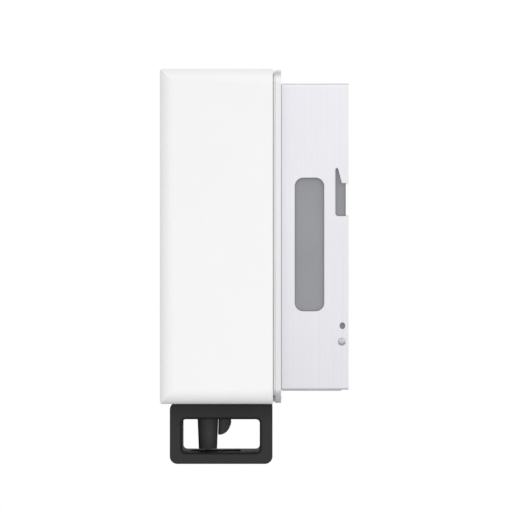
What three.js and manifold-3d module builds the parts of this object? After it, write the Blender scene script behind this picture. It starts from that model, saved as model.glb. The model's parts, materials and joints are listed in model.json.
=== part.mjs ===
// Wall mounted, touch-free soap dispenser: a bent sheet housing hangs on a wall plate, a frame closes
// its front, and a hinged plastic cover with a black outlet guard closes over tank and pump.
// Millimetres. +Z is up, the front looks along -Y, and y = 0 is the wall behind the wall plate.
import * as THREE from 'three';
import { mergeVertices } from 'three/addons/utils/BufferGeometryUtils.js';
import Module from 'manifold-3d';

const wasm = await Module();
wasm.setup();

// ---------------------------------------------------------------------------------------------
// Driving dimensions
// ---------------------------------------------------------------------------------------------
const gap = 0.3; // left between pieces that touch
const running = 0.3; // radial clearance round whatever turns
const past = 1; // how far a cutting tool runs past the face it cuts

const housingWidth = 98;
const housingHeight = 210;
const housingDepth = 45.8;
const housingCorner = 2;
const sheet = 1.5;
const returnHeight = 14; // of the sheet's front edge folded in at the top and bottom

const wallPlateThickness = 2;
const tabThickness = 1.5;

const tubWall = 2;
const bossRadius = 2.9; // of the tub's boss behind each peep hole
const tubSideRoom = 3; // between the sheet and the tub, where the plate's tabs stand

const frameOverhang = 8.7; // of the frame's edge past the housing
const frameThickness = 4;
const frameRise = 0.5; // the frame and cover sit this much above the housing's middle
const frameCorner = 9;
const lipInset = 7;
const lipDepth = 5.9;
const lipWall = 2;

const coverOverhang = 0.8; // of the cover past the frame
const coverSeam = 1.6;
const coverDepth = 77.2;
const coverWall = 2.8;
const coverFrontRadius = 10.4; // along the front's upright edges
const coverCorner = 10.5; // seen from the front
const coverEdge = 2; // along the front's top and bottom edges

const guardWidth = 76;
const guardHeight = 41.1;
const guardSetback = 6.6; // behind the cover's front
const guardRearInset = 0.2;
const guardCorner = 5.2;
const guardTopBar = 10.5;
const guardFloor = 7.8;
const guardFrontBar = 8.4;
const guardRearBar = 8.7;
const guardWindowCorner = 2.8;

const nozzleSetback = 25.8; // of the nozzle's axis behind the guard's front
const nozzleTopRadius = 7.2;
const nozzleTipRadius = 6.4;
const nozzleBore = 2.5;
const nozzleClearance = 1; // of the nozzle above the top of the guard's floor

const sensorWidth = 20;
const sensorDepth = 8.8;
const sensorDrop = 30.5;
const sensorSlope = 4.4;

const slotWidth = 20.2;
const slotHeight = 91.3;
const slotCorner = 5.9;
const slotFromFrame = 9; // from the housing's front to the slot
const slotDrop = 5; // of the slot's middle below the housing's

const notchDepth = 9;
const notchTipHeight = 47.2;
const notchStepHeight = 36.9;
const notchFootHeight = 14.4;
const notchTipWidth = 2;
const notchStepDepth = 4.6;

const sideScrewHeight = -71.3;
const sideScrewDepth = 4.6;
const sideScrewHead = 2.7;
const sideScrewShank = 1.5;
const peepHeight = -60.5;
const peepDepth = 4.2;
const peepWidth = 3.8;
const peepLength = 4.5;

const batteryDiameter = 14.2;
const batteryLength = 50.5;
const batteryPitch = batteryDiameter + 0.8;
const batteryCount = 4;
const batteryWall = 2;
const contactThickness = 0.6;
const batteryMiddle = 3; // height of the battery box's middle
const batteryLidOverlap = 3;
const batteryLidThickness = 2.2;
const railWidth = 2;

const tankSideRoom = 3.7;
const tankFrontRoom = 5;
const tankRearRoom = 6.9;
const tankTopRoom = 36.2;
const tankCorner = 8;
const tankWall = 2;
const neckRadius = 15;
const neckWall = 2.5;
const neckHeight = 7;
const neckFromRear = 27;
const capWall = 2.6;
const capHeight = 10.5;
const capTopThickness = 2.2;
const gasketThickness = 1.5;
const spoutRadius = 4.5;
const spoutBore = 2.6;
const spoutLength = 4.5;
const spoutSide = 20; // distance of the tank's outlet from the middle

const pumpRoom = 59.7; // height kept under the tank for pump and outlet
const shelfThickness = 2.5;
const pumpDrop = 27.5; // of the pump's axis below the tank's shelf
const pumpSide = -8;
const hoseLoopRadius = 15;
const hoseBend = 8;
const hoseLead = 1.5; // straight stretch at each end of the hose
const hoseRadius = 3.5;
const hoseSides = 9;
const hoseSteps = 40;
const pumpWall = 2.5;
const pumpBackWall = 2.5;
const pumpLidThickness = 2.3;
const lobeCount = 3;
const rotorHub = 4.5;
const rotorShaft = 2;
const gearModule = 0.8;
const gearTeeth = 36;
const pinionTeeth = 12;
const gearWidth = 5;
const gearBacklash = 0.34;
const motorRadius = 10.5;
const motorLength = 21;
const motorShaft = 1.2;

const lockFromRear = 16.3; // of the lock's axis in front of the cover's rear edge
const lockRadius = 6;
const lockLength = 14.4;
const camThickness = 2;
const camReach = 16;
const camWidth = 5;

const hingeRise = 3.2; // of the hinge's axis above the frame's lower edge
const hingePin = 1.2;
const hingeSide = 44;
const earThickness = 4;
const earRadius = 2.4;

const levelWindowWidth = 9;
const levelWindowHeight = 110;
const levelWindowRise = 14;

// ---------------------------------------------------------------------------------------------
// Planes worked out from the driving dimensions
// ---------------------------------------------------------------------------------------------
const housingSide = housingWidth / 2;
const housingTop = housingHeight / 2;
const housingFront = -housingDepth;
const frameBack = housingFront - gap;
const frameFront = frameBack - frameThickness;
const frameSide = housingSide + frameOverhang;
const frameTop = housingTop + frameOverhang + frameRise;
const frameBottom = -housingTop - frameOverhang + frameRise;
const onFrame = frameFront - gap; // where pieces screwed to the frame begin
const coverBack = frameFront - coverSeam;
const coverFront = coverBack - coverDepth;
const coverSide = frameSide + coverOverhang;
const coverTop = frameTop + coverOverhang;
const coverBottom = frameBottom - coverOverhang;
const guardFront = coverFront + guardSetback;
const guardBack = coverBack - guardRearInset;
const guardTop = coverBottom - gap;
const guardBottom = guardTop - guardHeight;
const nozzleY = guardFront + nozzleSetback;
const hingeY = (frameFront + frameBack) / 2;
const hingeZ = frameBottom + hingeRise;
const boxSide = batteryPitch * batteryCount / 2 + batteryWall;
const mouthSide = boxSide + 3; // half the opening between the sheet's folded front edges
const tubSide = housingSide - sheet - tubSideRoom;
const tubTop = housingTop - sheet - tubSideRoom / 2;
const tubFront = housingFront + sheet + gap;
const tubBack = -wallPlateThickness - gap;
const tankSide = coverSide - coverWall - tankSideRoom;
const tankFront = coverFront + coverWall + tankFrontRoom;
const tankBack = frameFront - tankRearRoom;
const tankTop = coverTop - coverWall - tankTopRoom;
const shelfTop = coverBottom + coverWall + pumpRoom;
const tankBottom = shelfTop + gap;
const neckY = tankBack - neckFromRear;
const pumpZ = shelfTop - pumpDrop;
const pumpCavity = hoseLoopRadius + hoseRadius + gap;
const pumpBack = nozzleY + hoseRadius + 2 * gap; // rear face of the hose's chamber
const pumpFront = nozzleY - 2 * hoseRadius;
const gearFront = pumpBack + pumpBackWall + 2 * gap;
const gearBack = gearFront + gearWidth;
const motorPlateFront = gearBack + 1;
const motorPlateThickness = 2;
const motorFront = motorPlateFront + motorPlateThickness + gap;
const gearDistance = gearModule * (gearTeeth + pinionTeeth) / 2 + 0.1;
const motorX = pumpSide + gearDistance;
const outletShelfTop = pumpZ - hoseLoopRadius - hoseBend - hoseLead - gap;
const outletShelfThickness = 2.8;
const lockY = coverBack - lockFromRear;
const lockTop = coverTop - gap;
const camTop = lockTop - lockLength - gap;

// ---------------------------------------------------------------------------------------------
// Solids
// ---------------------------------------------------------------------------------------------
const AXIS = {
  x: new THREE.Matrix4().makeBasis(
    new THREE.Vector3(0, 1, 0), new THREE.Vector3(0, 0, 1), new THREE.Vector3(1, 0, 0)),
  y: new THREE.Matrix4().makeBasis(
    new THREE.Vector3(1, 0, 0), new THREE.Vector3(0, 0, 1), new THREE.Vector3(0, -1, 0)),
  z: new THREE.Matrix4(),
};

function toSolid(geometry) {
  for (const name of Object.keys(geometry.attributes)) {
    if (name !== 'position') geometry.deleteAttribute(name);
  }
  const merged = mergeVertices(geometry, 1e-4);
  const corners = merged.index.array;
  const triangles = [];
  for (let i = 0; i < corners.length; i += 3) {
    const [a, b, c] = [corners[i], corners[i + 1], corners[i + 2]];
    if (a !== b && b !== c && c !== a) triangles.push(a, b, c);
  }
  const vertProperties = Float32Array.from(merged.attributes.position.array);
  return new wasm.Manifold(
    new wasm.Mesh({ numProp: 3, vertProperties, triVerts: Uint32Array.from(triangles) }));
}

// A box between two opposite corners.
function box(x, y, z) {
  const geometry = new THREE.BoxGeometry(x[1] - x[0], y[1] - y[0], z[1] - z[0]);
  geometry.translate((x[0] + x[1]) / 2, (y[0] + y[1]) / 2, (z[0] + z[1]) / 2);
  return toSolid(geometry);
}

// An outline drawn in the two axes across `axis`, pushed along it from low to high.
function prism(axis, outline, low, high, curveSegments = 3) {
  const geometry = new THREE.ExtrudeGeometry(
    outline, { depth: high - low, bevelEnabled: false, curveSegments });
  geometry.translate(0, 0, axis === 'y' ? -high : low);
  geometry.applyMatrix4(AXIS[axis]);
  return toSolid(geometry);
}

// A round bar along `axis`; `at` is its place in the two other axes, in x, y, z order.
function rod(axis, radius, low, high, at = [0, 0], segments = 20, highRadius = radius) {
  const geometry = new THREE.CylinderGeometry(highRadius, radius, high - low, segments);
  geometry.translate(0, (low + high) / 2, 0);
  if (axis === 'z') geometry.rotateX(Math.PI / 2).translate(at[0], at[1], 0);
  if (axis === 'x') geometry.rotateZ(-Math.PI / 2).translate(0, at[0], at[1]);
  if (axis === 'y') geometry.translate(at[0], 0, at[1]);
  return toSolid(geometry);
}

// A closed profile of [radius, height] points turned round an upright axis.
function turned(profile, at, segments = 24) {
  const points = profile.map(([radius, height]) => new THREE.Vector2(radius, height));
  const geometry = new THREE.LatheGeometry([...points, points[0].clone()], segments);
  geometry.rotateX(Math.PI / 2);
  geometry.translate(at[0], at[1], 0);
  return toSolid(geometry);
}

function rounded(u, v, radius) {
  const outline = new THREE.Shape();
  outline.moveTo(u[0] + radius, v[0]);
  outline.lineTo(u[1] - radius, v[0]);
  outline.absarc(u[1] - radius, v[0] + radius, radius, -Math.PI / 2, 0);
  outline.lineTo(u[1], v[1] - radius);
  outline.absarc(u[1] - radius, v[1] - radius, radius, 0, Math.PI / 2);
  outline.lineTo(u[0] + radius, v[1]);
  outline.absarc(u[0] + radius, v[1] - radius, radius, Math.PI / 2, Math.PI);
  outline.lineTo(u[0], v[0] + radius);
  outline.absarc(u[0] + radius, v[0] + radius, radius, Math.PI, Math.PI * 1.5);
  return outline;
}

function polygon(points) {
  return new THREE.Shape(points.map(([u, v]) => new THREE.Vector2(u, v)));
}

const join = (first, ...others) => others.reduce((body, other) => body.add(other), first);
const cut = (first, ...tools) => tools.reduce((body, tool) => body.subtract(tool), first);
const both = (half) => [-half, half];

const model = new THREE.Group();
model.name = 'soap_dispenser';

function add(name, solid, material) {
  const { vertProperties, triVerts } = solid.getMesh();
  const geometry = new THREE.BufferGeometry();
  geometry.setAttribute('position', new THREE.BufferAttribute(vertProperties, 3));
  geometry.setIndex(new THREE.BufferAttribute(triVerts, 1));
  geometry.computeVertexNormals();
  const mesh = new THREE.Mesh(geometry, material());
  mesh.name = name;
  model.add(mesh);
}

// ---------------------------------------------------------------------------------------------
// Materials
// ---------------------------------------------------------------------------------------------
const finish = (color, roughness, metalness = 0, more = {}) =>
  () => new THREE.MeshStandardMaterial({ color, roughness, metalness, ...more });

const whitePlastic = finish(0xf0f0f0, 0.42);
const greyPlastic = finish(0x919296, 0.55);
const blackPlastic = finish(0x3a3a3b, 0.5);
const brushedSteel = finish(0xd7d7dc, 0.38, 0.85);
const satinMetal = finish(0xdcdcdf, 0.4, 0.85);
const steel = finish(0xb9bbbe, 0.3, 1);
const brass = finish(0xc9a95c, 0.35, 1);
const clearPlastic = finish(0xe6eef0, 0.2, 0, { transparent: true, opacity: 0.45 });
const smokyPlastic = finish(0x50565c, 0.15, 0, { transparent: true, opacity: 0.7 });
const rubber = finish(0x2b2b2d, 0.85);
const silicone = finish(0xdfe3e2, 0.6);
const gearPlastic = finish(0xece7d8, 0.5);
const boardGreen = finish(0x1f5a3a, 0.5);
const batteryWrap = finish(0x3b5f8f, 0.35);
const sensorGlass = finish(0x220d12, 0.1);
const ledPlastic = finish(0x58c27a, 0.25);

// ---------------------------------------------------------------------------------------------
// Wall plate and sheet housing
// ---------------------------------------------------------------------------------------------
const tabOuter = housingSide - sheet - 2 * gap;
const tabInner = tabOuter - tabThickness;

function wallPlate() {
  const plateTop = housingTop - sheet - gap;
  const plate = prism('y', rounded(both(tabOuter), both(plateTop), housingCorner), -wallPlateThickness, 0);
  let body = plate;
  for (const side of [-1, 1]) {
    const across = [side * tabInner, side * tabOuter].sort((a, b) => a - b);
    const hanger = [side * (tabOuter - past), side * (housingSide - gap)].sort((a, b) => a - b);
    const hangerZ = [notchFootHeight + gap, notchStepHeight - gap];
    const lugZ = [sideScrewHeight - 2 * sideScrewHead, sideScrewHeight + 2 * sideScrewHead];
    const lugY = [-sideScrewDepth - sideScrewHead - gap, -past];
    const screwHole = rod('x', sideScrewShank + gap, across[0] - past, across[1] + past,
      [-sideScrewDepth, sideScrewHeight]);
    const sideLug = cut(box(across, lugY, lugZ), screwHole);
    body = join(body, box(hanger, [-wallPlateThickness, 0], hangerZ), sideLug);
  }
  const holeSide = housingSide - returnHeight;
  const holeTop = housingTop - 2 * returnHeight;
  for (const x of both(holeSide)) {
    for (const z of both(holeTop)) {
      const headHole = rod('y', 4.5, -wallPlateThickness - past, past, [x, z - 5]);
      const neck = box([x - 2.3, x + 2.3], [-wallPlateThickness - past, past], [z - 5, z + 4]);
      body = cut(body, headHole, neck);
    }
  }
  return body;
}

// The opening that hangs on the plate's lug: open at the rear edge, with a narrow tip above its step.
function notchOutline() {
  const tip = notchTipWidth / 2;
  const outline = new THREE.Shape();
  outline.moveTo(past, notchFootHeight);
  outline.lineTo(past, notchStepHeight);
  outline.lineTo(-notchStepDepth, notchStepHeight);
  outline.lineTo(-notchDepth + notchTipWidth, notchTipHeight - tip);
  outline.absarc(-notchDepth + tip, notchTipHeight - tip, tip, 0, Math.PI);
  outline.lineTo(-notchDepth, notchFootHeight + housingCorner);
  outline.absarc(-notchDepth + housingCorner, notchFootHeight + housingCorner, housingCorner,
    Math.PI, Math.PI * 1.5);
  return outline;
}

function rearHousing() {
  const outer = rounded(both(housingSide), both(housingTop), housingCorner);
  const inner = rounded(both(housingSide - sheet), both(housingTop - sheet), housingCorner - sheet);
  const mouth = rounded(both(mouthSide), both(housingTop - returnHeight), 3);
  const slotFront = housingFront + slotFromFrame;
  const slotZ = both(slotHeight / 2).map((z) => z - slotDrop);
  const slot = rounded([slotFront, slotFront + slotWidth], slotZ, slotCorner);
  const peep = new THREE.Shape();
  peep.absellipse(-peepDepth, peepHeight, peepWidth / 2, peepLength / 2, 0, Math.PI * 1.999);
  const across = both(housingSide + past);
  return cut(prism('y', outer, housingFront, 0),
    prism('y', inner, housingFront + sheet, past),
    prism('y', mouth, housingFront - past, 0),
    prism('x', slot, ...across),
    prism('x', notchOutline(), ...across),
    prism('x', peep, ...across, 5),
    rod('x', sideScrewShank + gap, ...across, [-sideScrewDepth, sideScrewHeight]),
    ...frameScrewPlaces().map((at) => rod('y', frameScrewShank + gap, housingFront - past,
      housingFront + sheet + past, at)));
}

function sideScrew(side) {
  const head = rod('x', sideScrewHead, housingSide + gap, housingSide + 1.7,
    [-sideScrewDepth, sideScrewHeight], 16, sideScrewHead * 0.75);
  const shank = rod('x', sideScrewShank, tabInner - gap, housingSide + 2 * gap,
    [-sideScrewDepth, sideScrewHeight], 16);
  const socket = rod('x', 1.2, housingSide + 0.8, housingSide + 2 + past,
    [-sideScrewDepth, sideScrewHeight], 6);
  const screw = cut(join(head, shank), socket);
  return side > 0 ? screw : screw.rotate([0, 0, 180]).translate([0, -2 * sideScrewDepth, 0]);
}

// ---------------------------------------------------------------------------------------------
// Tub, batteries and control board inside the housing
// ---------------------------------------------------------------------------------------------
const frameScrewShank = 1.6;
const frameScrewHead = 3.2;
const boxHalf = batteryLength / 2 + 2 * contactThickness + 2 * gap + batteryWall;
const boxFront = housingFront + gap;
const boxBack = boxFront + batteryDiameter + 2 * gap + batteryWall;
const boxZ = both(boxHalf).map((z) => z + batteryMiddle);
const boardZ = [-tubTop + 6, boxZ[0] - 6];

function frameScrewPlaces() {
  const x = housingSide - 9;
  const z = housingTop - 9;
  return [[-x, -z], [x, -z], [-x, z], [x, z]];
}

function rearTub() {
  const outer = rounded(both(tubSide), both(tubTop), 4);
  const inner = rounded(both(tubSide - tubWall), both(tubTop - tubWall), 2);
  const cableHole = box(both(9), [tubBack - tubWall - past, tubBack + past],
    [housingTop - 45, housingTop - 30]);
  const shell = cut(prism('y', outer, tubFront, tubBack),
    prism('y', inner, tubFront - past, tubBack - tubWall), cableHole);
  const bosses = [-1, 1].map((side) => {
    const across = [side * (tubSide - past), side * (tabOuter - gap)].sort((a, b) => a - b);
    return rod('x', bossRadius, ...across, [-tubWall - bossRadius - gap, peepHeight]);
  });
  return join(shell, ...bosses);
}

function batteryBox() {
  return cut(box(both(boxSide), [boxFront, boxBack], boxZ),
    box(both(boxSide - batteryWall), [boxFront - past, boxBack - batteryWall],
      [boxZ[0] + batteryWall, boxZ[1] - batteryWall]));
}

function battery(index) {
  const x = (index - (batteryCount - 1) / 2) * batteryPitch;
  const y = boxFront + batteryDiameter / 2 + gap;
  const up = index % 2 === 0 ? 1 : -1;
  const ends = both(batteryLength / 2).map((z) => z + batteryMiddle);
  const nub = 1.2;
  const body = up > 0 ? [ends[0], ends[1] - nub] : [ends[0] + nub, ends[1]];
  const cap = up > 0 ? [ends[1] - 2 * nub, ends[1]] : [ends[0], ends[0] + 2 * nub];
  return join(rod('z', batteryDiameter / 2, ...body, [x, y]), rod('z', 2.6, ...cap, [x, y], 12));
}

function contactStrip(end) {
  const inside = batteryMiddle + end * (boxHalf - batteryWall - gap);
  const z = [inside, inside - end * contactThickness].sort((a, b) => a - b);
  return box(both(boxSide - batteryWall - gap), [boxFront + 2, boxBack - batteryWall - 2], z);
}

function controlBoard() {
  const y = tubFront + 6;
  return box(both(tubSide - tubWall - 4), [y, y + 1.6], boardZ);
}

function boardChip() {
  const y = tubFront + 6;
  const z = (boardZ[0] + boardZ[1]) / 2;
  return box([-6, 6], [y - gap - 2, y - gap], [z - 6, z + 6]);
}

function boardCapacitor() {
  const y = tubFront + 6;
  return rod('y', 4, y - gap - 3.5, y - gap, [20, boardZ[0] + 10], 16);
}

// ---------------------------------------------------------------------------------------------
// Frame
// ---------------------------------------------------------------------------------------------
const windowSide = boxSide - batteryWall;
const windowZ = [boxZ[0] + batteryWall, boxZ[1] - batteryWall];
const lidSide = windowSide + batteryLidOverlap;
const lidZ = [windowZ[0] - batteryLidOverlap, windowZ[1] + batteryLidOverlap];
const catchScrewAt = [26, camTop - camThickness / 2];
const screwPilot = 1.3;

function baseFrame() {
  const edge = rounded(both(frameSide), [frameBottom, frameTop], frameCorner);
  const lipOuter = rounded(both(frameSide - lipInset), [frameBottom + lipInset, frameTop - lipInset],
    frameCorner - 4);
  const lipInner = rounded(both(frameSide - lipInset - lipWall),
    [frameBottom + lipInset + lipWall, frameTop - lipInset - lipWall], frameCorner - 6);
  const lip = cut(prism('y', lipOuter, frameFront - lipDepth, frameFront + past),
    prism('y', lipInner, frameFront - lipDepth - past, frameFront + 2 * past));
  const through = [frameFront - past, frameBack + past];
  let body = join(prism('y', edge, frameFront, frameBack), lip);
  for (const side of [-1, 1]) {
    const rail = [side * (lidSide + gap), side * (lidSide + gap + railWidth)].sort((a, b) => a - b);
    const hook = [side * (lidSide - 1.2), side * (lidSide + gap + railWidth)].sort((a, b) => a - b);
    const lidFront = onFrame - batteryLidThickness;
    const railZ = [lidZ[0], lidZ[1]];
    body = join(body, box(rail, [lidFront - gap - 1.2, frameFront + past], railZ),
      box(hook, [lidFront - gap - 1.2, lidFront - gap], railZ));
    const slotX = [side * (hingeSide - earThickness / 2 - gap), side * (hingeSide + earThickness / 2 + gap)]
      .sort((a, b) => a - b);
    const pinX = [side * (hingeSide - 6), side * (hingeSide + 6)].sort((a, b) => a - b);
    body = cut(body, box(slotX, through, [frameBottom - past, hingeZ + earRadius + 2 * gap]),
      rod('x', hingePin + 0.15, pinX[0] - gap, pinX[1] + gap, [hingeY, hingeZ], 16));
  }
  const lipGate = box(both(chassisSide + gap), [frameFront - lipDepth - past, frameFront],
    [frameBottom + lipInset - past, frameBottom + lipInset + lipWall + past]);
  const wireHole = box(both(7), through, [shelfTop + 4, shelfTop + 9]);
  const screwHoles = frameScrewPlaces().map((at) => rod('y', frameScrewShank + gap, ...through, at, 16));
  const pilots = [...chassisScrewPlaces(), catchScrewAt].map((at) =>
    rod('y', screwPilot + 0.2, ...through, at, 12));
  return cut(body, box(both(windowSide), through, windowZ), lipGate, wireHole, ...screwHoles, ...pilots);
}

// A pan-head screw along Y with its head's underside at `seat`.
function panScrew(at, seat, tip, shank, head, headHeight) {
  const cross = box([at[0] - head * 0.55, at[0] + head * 0.55],
    [seat - headHeight - past, seat - headHeight * 0.55], both(0.35).map((z) => z + at[1]));
  return cut(join(rod('y', head, seat - headHeight, seat, at, 16), rod('y', shank, seat - gap, tip, at, 12)),
    cross);
}

function batteryLid() {
  const y = [onFrame - batteryLidThickness, onFrame];
  const grip = [];
  for (let i = 0; i < 3; i += 1) {
    const z = lidZ[1] - 8 - 3 * i;
    grip.push(box(both(9), [y[0] - past, y[0] + 0.7], [z - 0.7, z + 0.7]));
  }
  return cut(box(both(lidSide), y, lidZ), ...grip);
}

function hingePinSolid(side) {
  const x = [side * (hingeSide - 6), side * (hingeSide + 6)].sort((a, b) => a - b);
  return rod('x', hingePin, ...x, [hingeY, hingeZ], 16);
}

function lockCatch() {
  const armX = [camReach + 1.5, camReach + 4.5];
  const armZ = [camTop - camThickness - 2, camTop + 2];
  const hookFront = lockY - camWidth / 2 - 6;
  const foot = box([armX[0], catchScrewAt[0] + 6], [onFrame - 2, onFrame],
    both(6).map((z) => z + catchScrewAt[1]));
  return cut(join(foot, box(armX, [hookFront, onFrame - past], armZ),
    box([camReach - 7, armX[1]], [hookFront, hookFront + 4], armZ)),
    rod('y', screwPilot + gap, onFrame - 2 - past, onFrame + past, catchScrewAt, 16));
}

// ---------------------------------------------------------------------------------------------
// Tank
// ---------------------------------------------------------------------------------------------
function tank() {
  const outer = prism('z', rounded(both(tankSide), [tankFront, tankBack], tankCorner), tankBottom, tankTop);
  const inner = prism('z', rounded(both(tankSide - tankWall), [tankFront + tankWall, tankBack - tankWall],
    tankCorner - tankWall), tankBottom + tankWall, tankTop - tankWall);
  const neck = rod('z', neckRadius, tankTop - past, tankTop + neckHeight, [0, neckY], 28);
  const mouth = rod('z', neckRadius - neckWall, tankTop - tankWall - past, tankTop + neckHeight + past,
    [0, neckY], 28);
  const spout = rod('z', spoutRadius, tankBottom - spoutLength, tankBottom + past, [spoutSide, nozzleY], 16);
  const drain = rod('z', spoutBore, tankBottom - spoutLength - past, tankBottom + tankWall + past,
    [spoutSide, nozzleY], 16);
  return cut(join(outer, neck, spout), inner, mouth, drain);
}

function tankCap() {
  const bottom = tankTop + 1.5;
  const top = bottom + capHeight;
  const inner = neckRadius + running;
  const outer = inner + capWall;
  let body = cut(rod('z', outer, bottom, top, [0, neckY], 28),
    rod('z', inner, bottom - past, top - capTopThickness, [0, neckY], 28));
  const flutes = 12;
  for (let i = 0; i < flutes; i += 1) {
    const turn = 2 * Math.PI * (i + 0.5) / flutes;
    const at = [(outer + 1) * Math.cos(turn), neckY + (outer + 1) * Math.sin(turn)];
    body = cut(body, rod('z', 1.8, bottom - past, top + past, at, 10));
  }
  const lug = box(both(1.8), [neckY - inner + 2, neckY + inner - 2], [top - past, top + 1.4]);
  return join(body, lug);
}

function capGasket() {
  const bottom = tankTop + neckHeight + gap;
  const outer = neckRadius - gap;
  const inner = neckRadius - neckWall + gap;
  const top = Math.min(bottom + gasketThickness, tankTop + 1.5 + capHeight - capTopThickness - gap);
  return turned([[inner, bottom], [outer, bottom], [outer, top], [inner, top]], [0, neckY]);
}

function hoseCollar() {
  const bottom = pumpBodyZ[1] + gap;
  const top = shelfTop - shelfThickness - 2 * gap;
  return turned([[spoutRadius + gap, bottom], [spoutRadius + 2, bottom], [spoutRadius + 2, top],
    [spoutRadius + gap, top]], [spoutSide, nozzleY], 20);
}

// ---------------------------------------------------------------------------------------------
// Pump, motor and outlet on their chassis
// ---------------------------------------------------------------------------------------------
const chassisSide = 34;
const chassisBack = onFrame;
const chassisPlate = 2.7;
const panelX = [chassisSide - 5, chassisSide + 13];
const panelZ = [shelfTop - 26, shelfTop];
const panelFront = tankFront + 3;
const panelThickness = 2;
const buttonAt = [(panelX[0] + panelX[1]) / 2, shelfTop - 10];
const buttonRadius = 3.8;
const switchAt = [(panelX[0] + panelX[1]) / 2, shelfTop - 19];
const switchTravel = 5;
const pumpX = [pumpSide - pumpCavity - pumpWall, spoutSide + hoseRadius + pumpWall + 2];
const pumpBodyZ = [pumpZ - pumpCavity - pumpWall, pumpZ + pumpCavity + pumpWall];

function chassisScrewPlaces() {
  return both(chassisSide - 8).map((x) => [x, shelfTop - 14]);
}

function pumpScrewPlaces() {
  const z = pumpBodyZ.map((level, i) => level + (i === 0 ? 3 : -3));
  return [[pumpX[0] + 3, z[0]], [pumpX[1] - 3, z[0]], [pumpX[0] + 3, z[1]]];
}

// Route of the peristaltic hose: down from the tank, over the rotor's far side, down to the nozzle.
function hosePath() {
  const at = (x, z) => new THREE.Vector3(x, nozzleY, z);
  const top = tankBottom - spoutLength - gap;
  const high = pumpZ + hoseLoopRadius;
  const low = pumpZ - hoseLoopRadius;
  const points = [at(spoutSide, top)];
  const arc = (x, z, radius, from, to, steps) => {
    for (let i = 0; i <= steps; i += 1) {
      const turn = THREE.MathUtils.degToRad(from + (to - from) * i / steps);
      points.push(at(x + radius * Math.cos(turn), z + radius * Math.sin(turn)));
    }
  };
  const entry = Math.min(hoseBend, top - high - hoseLead);
  arc(spoutSide - entry, high + entry, entry, 0, -90, 4);
  arc(pumpSide, pumpZ, hoseLoopRadius, 90, 270, 14);
  arc(pumpSide, low - hoseBend, hoseBend, 90, 0, 4);
  points.push(at(pumpSide + hoseBend, low - hoseBend - hoseLead));
  return points;
}

function hoseSolid() {
  const points = hosePath();
  const route = new THREE.CurvePath();
  for (let i = 1; i < points.length; i += 1) {
    if (points[i].distanceTo(points[i - 1]) > 0.05) route.add(new THREE.LineCurve3(points[i - 1], points[i]));
  }
  const smooth = new THREE.CatmullRomCurve3(route.getSpacedPoints(hoseSteps), false, 'centripetal');
  const section = polygon(Array.from({ length: hoseSides }, (_, i) => {
    const turn = 2 * Math.PI * i / hoseSides;
    return [hoseRadius * Math.cos(turn), hoseRadius * Math.sin(turn)];
  }));
  return toSolid(new THREE.ExtrudeGeometry(section,
    { steps: hoseSteps, bevelEnabled: false, extrudePath: smooth }));
}

function chassis() {
  const side = [-chassisSide, chassisSide];
  const outletBottom = outletShelfTop - outletShelfThickness;
  const backPlate = box(side, [chassisBack - chassisPlate, chassisBack], [outletBottom, shelfTop]);
  const shelf = box([-tankSide + 6, panelX[1]], [panelFront, chassisBack],
    [shelfTop - shelfThickness, shelfTop]);
  const outletShelf = box(both(22), [nozzleY - 12, chassisBack], [outletBottom, outletShelfTop]);
  const motorPlate = box([pumpX[0], pumpX[1]],
    [motorPlateFront, motorPlateFront + motorPlateThickness], [outletBottom, shelfTop - past]);
  const panel = box(panelX, [panelFront, panelFront + panelThickness], panelZ);
  const ribs = both(chassisSide - 1.2).map((x) => box([x - 1.2, x + 1.2],
    [chassisBack - 22, chassisBack - past], [outletBottom + 2, shelfTop - past]));
  const through = [panelFront - past, panelFront + panelThickness + past];
  const button = rod('y', buttonRadius + gap, ...through, buttonAt);
  const switchSlot = box(both(switchTravel / 2 + 2 + gap).map((x) => x + switchAt[0]), through,
    both(1.5 + gap).map((z) => z + switchAt[1]));
  const plateThrough = [motorPlateFront - past, motorPlateFront + motorPlateThickness + past];
  const holes = [
    button,
    switchSlot,
    rod('z', spoutRadius + 2 * gap, shelfTop - shelfThickness - past, shelfTop + past, [spoutSide, nozzleY]),
    rod('z', nozzleSpigot + gap, outletBottom - past, outletShelfTop + past, [0, nozzleY]),
    rod('y', rotorShaft + running, ...plateThrough, [pumpSide, pumpZ]),
    rod('y', 3.5, ...plateThrough, [motorX, pumpZ]),
    ...pumpScrewPlaces().map((at) => rod('y', screwPilot + 0.2, ...plateThrough, at, 12)),
    ...chassisScrewPlaces().map((at) => rod('y', screwPilot + gap, chassisBack - chassisPlate - past,
      chassisBack + past, at, 16)),
    box(both(7), [chassisBack - chassisPlate - past, chassisBack + past], both(4).map((z) => z + pumpZ)),
  ];
  return cut(join(backPlate, shelf, outletShelf, motorPlate, panel, ...ribs), ...holes);
}

function pumpBody() {
  const bodyBack = pumpBack + pumpBackWall;
  const block = prism('y', rounded(pumpX, pumpBodyZ, 3), pumpFront, bodyBack);
  const posts = pumpScrewPlaces().map((at) => rod('y', 2.9, bodyBack - past, motorPlateFront - gap, at, 14));
  const holes = pumpScrewPlaces().map((at) => rod('y', screwPilot + gap, pumpFront - past,
    motorPlateFront + past, at, 12));
  const chamber = rod('y', pumpCavity, pumpFront - past, pumpBack, [pumpSide, pumpZ], 40);
  const shaftHole = rod('y', rotorShaft + running, pumpBack - past, bodyBack + past, [pumpSide, pumpZ]);
  const inlet = box([pumpSide, spoutSide + hoseRadius + gap], [pumpFront - past, pumpBack],
    [pumpZ + hoseLoopRadius - hoseRadius - gap, pumpBodyZ[1] + past]);
  const outlet = box([pumpSide, hoseRadius + gap], [pumpFront - past, pumpBack],
    [pumpBodyZ[0] - past, pumpZ - hoseLoopRadius + hoseRadius + gap]);
  return cut(join(block, ...posts), chamber, shaftHole, inlet, outlet, ...holes);
}

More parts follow.
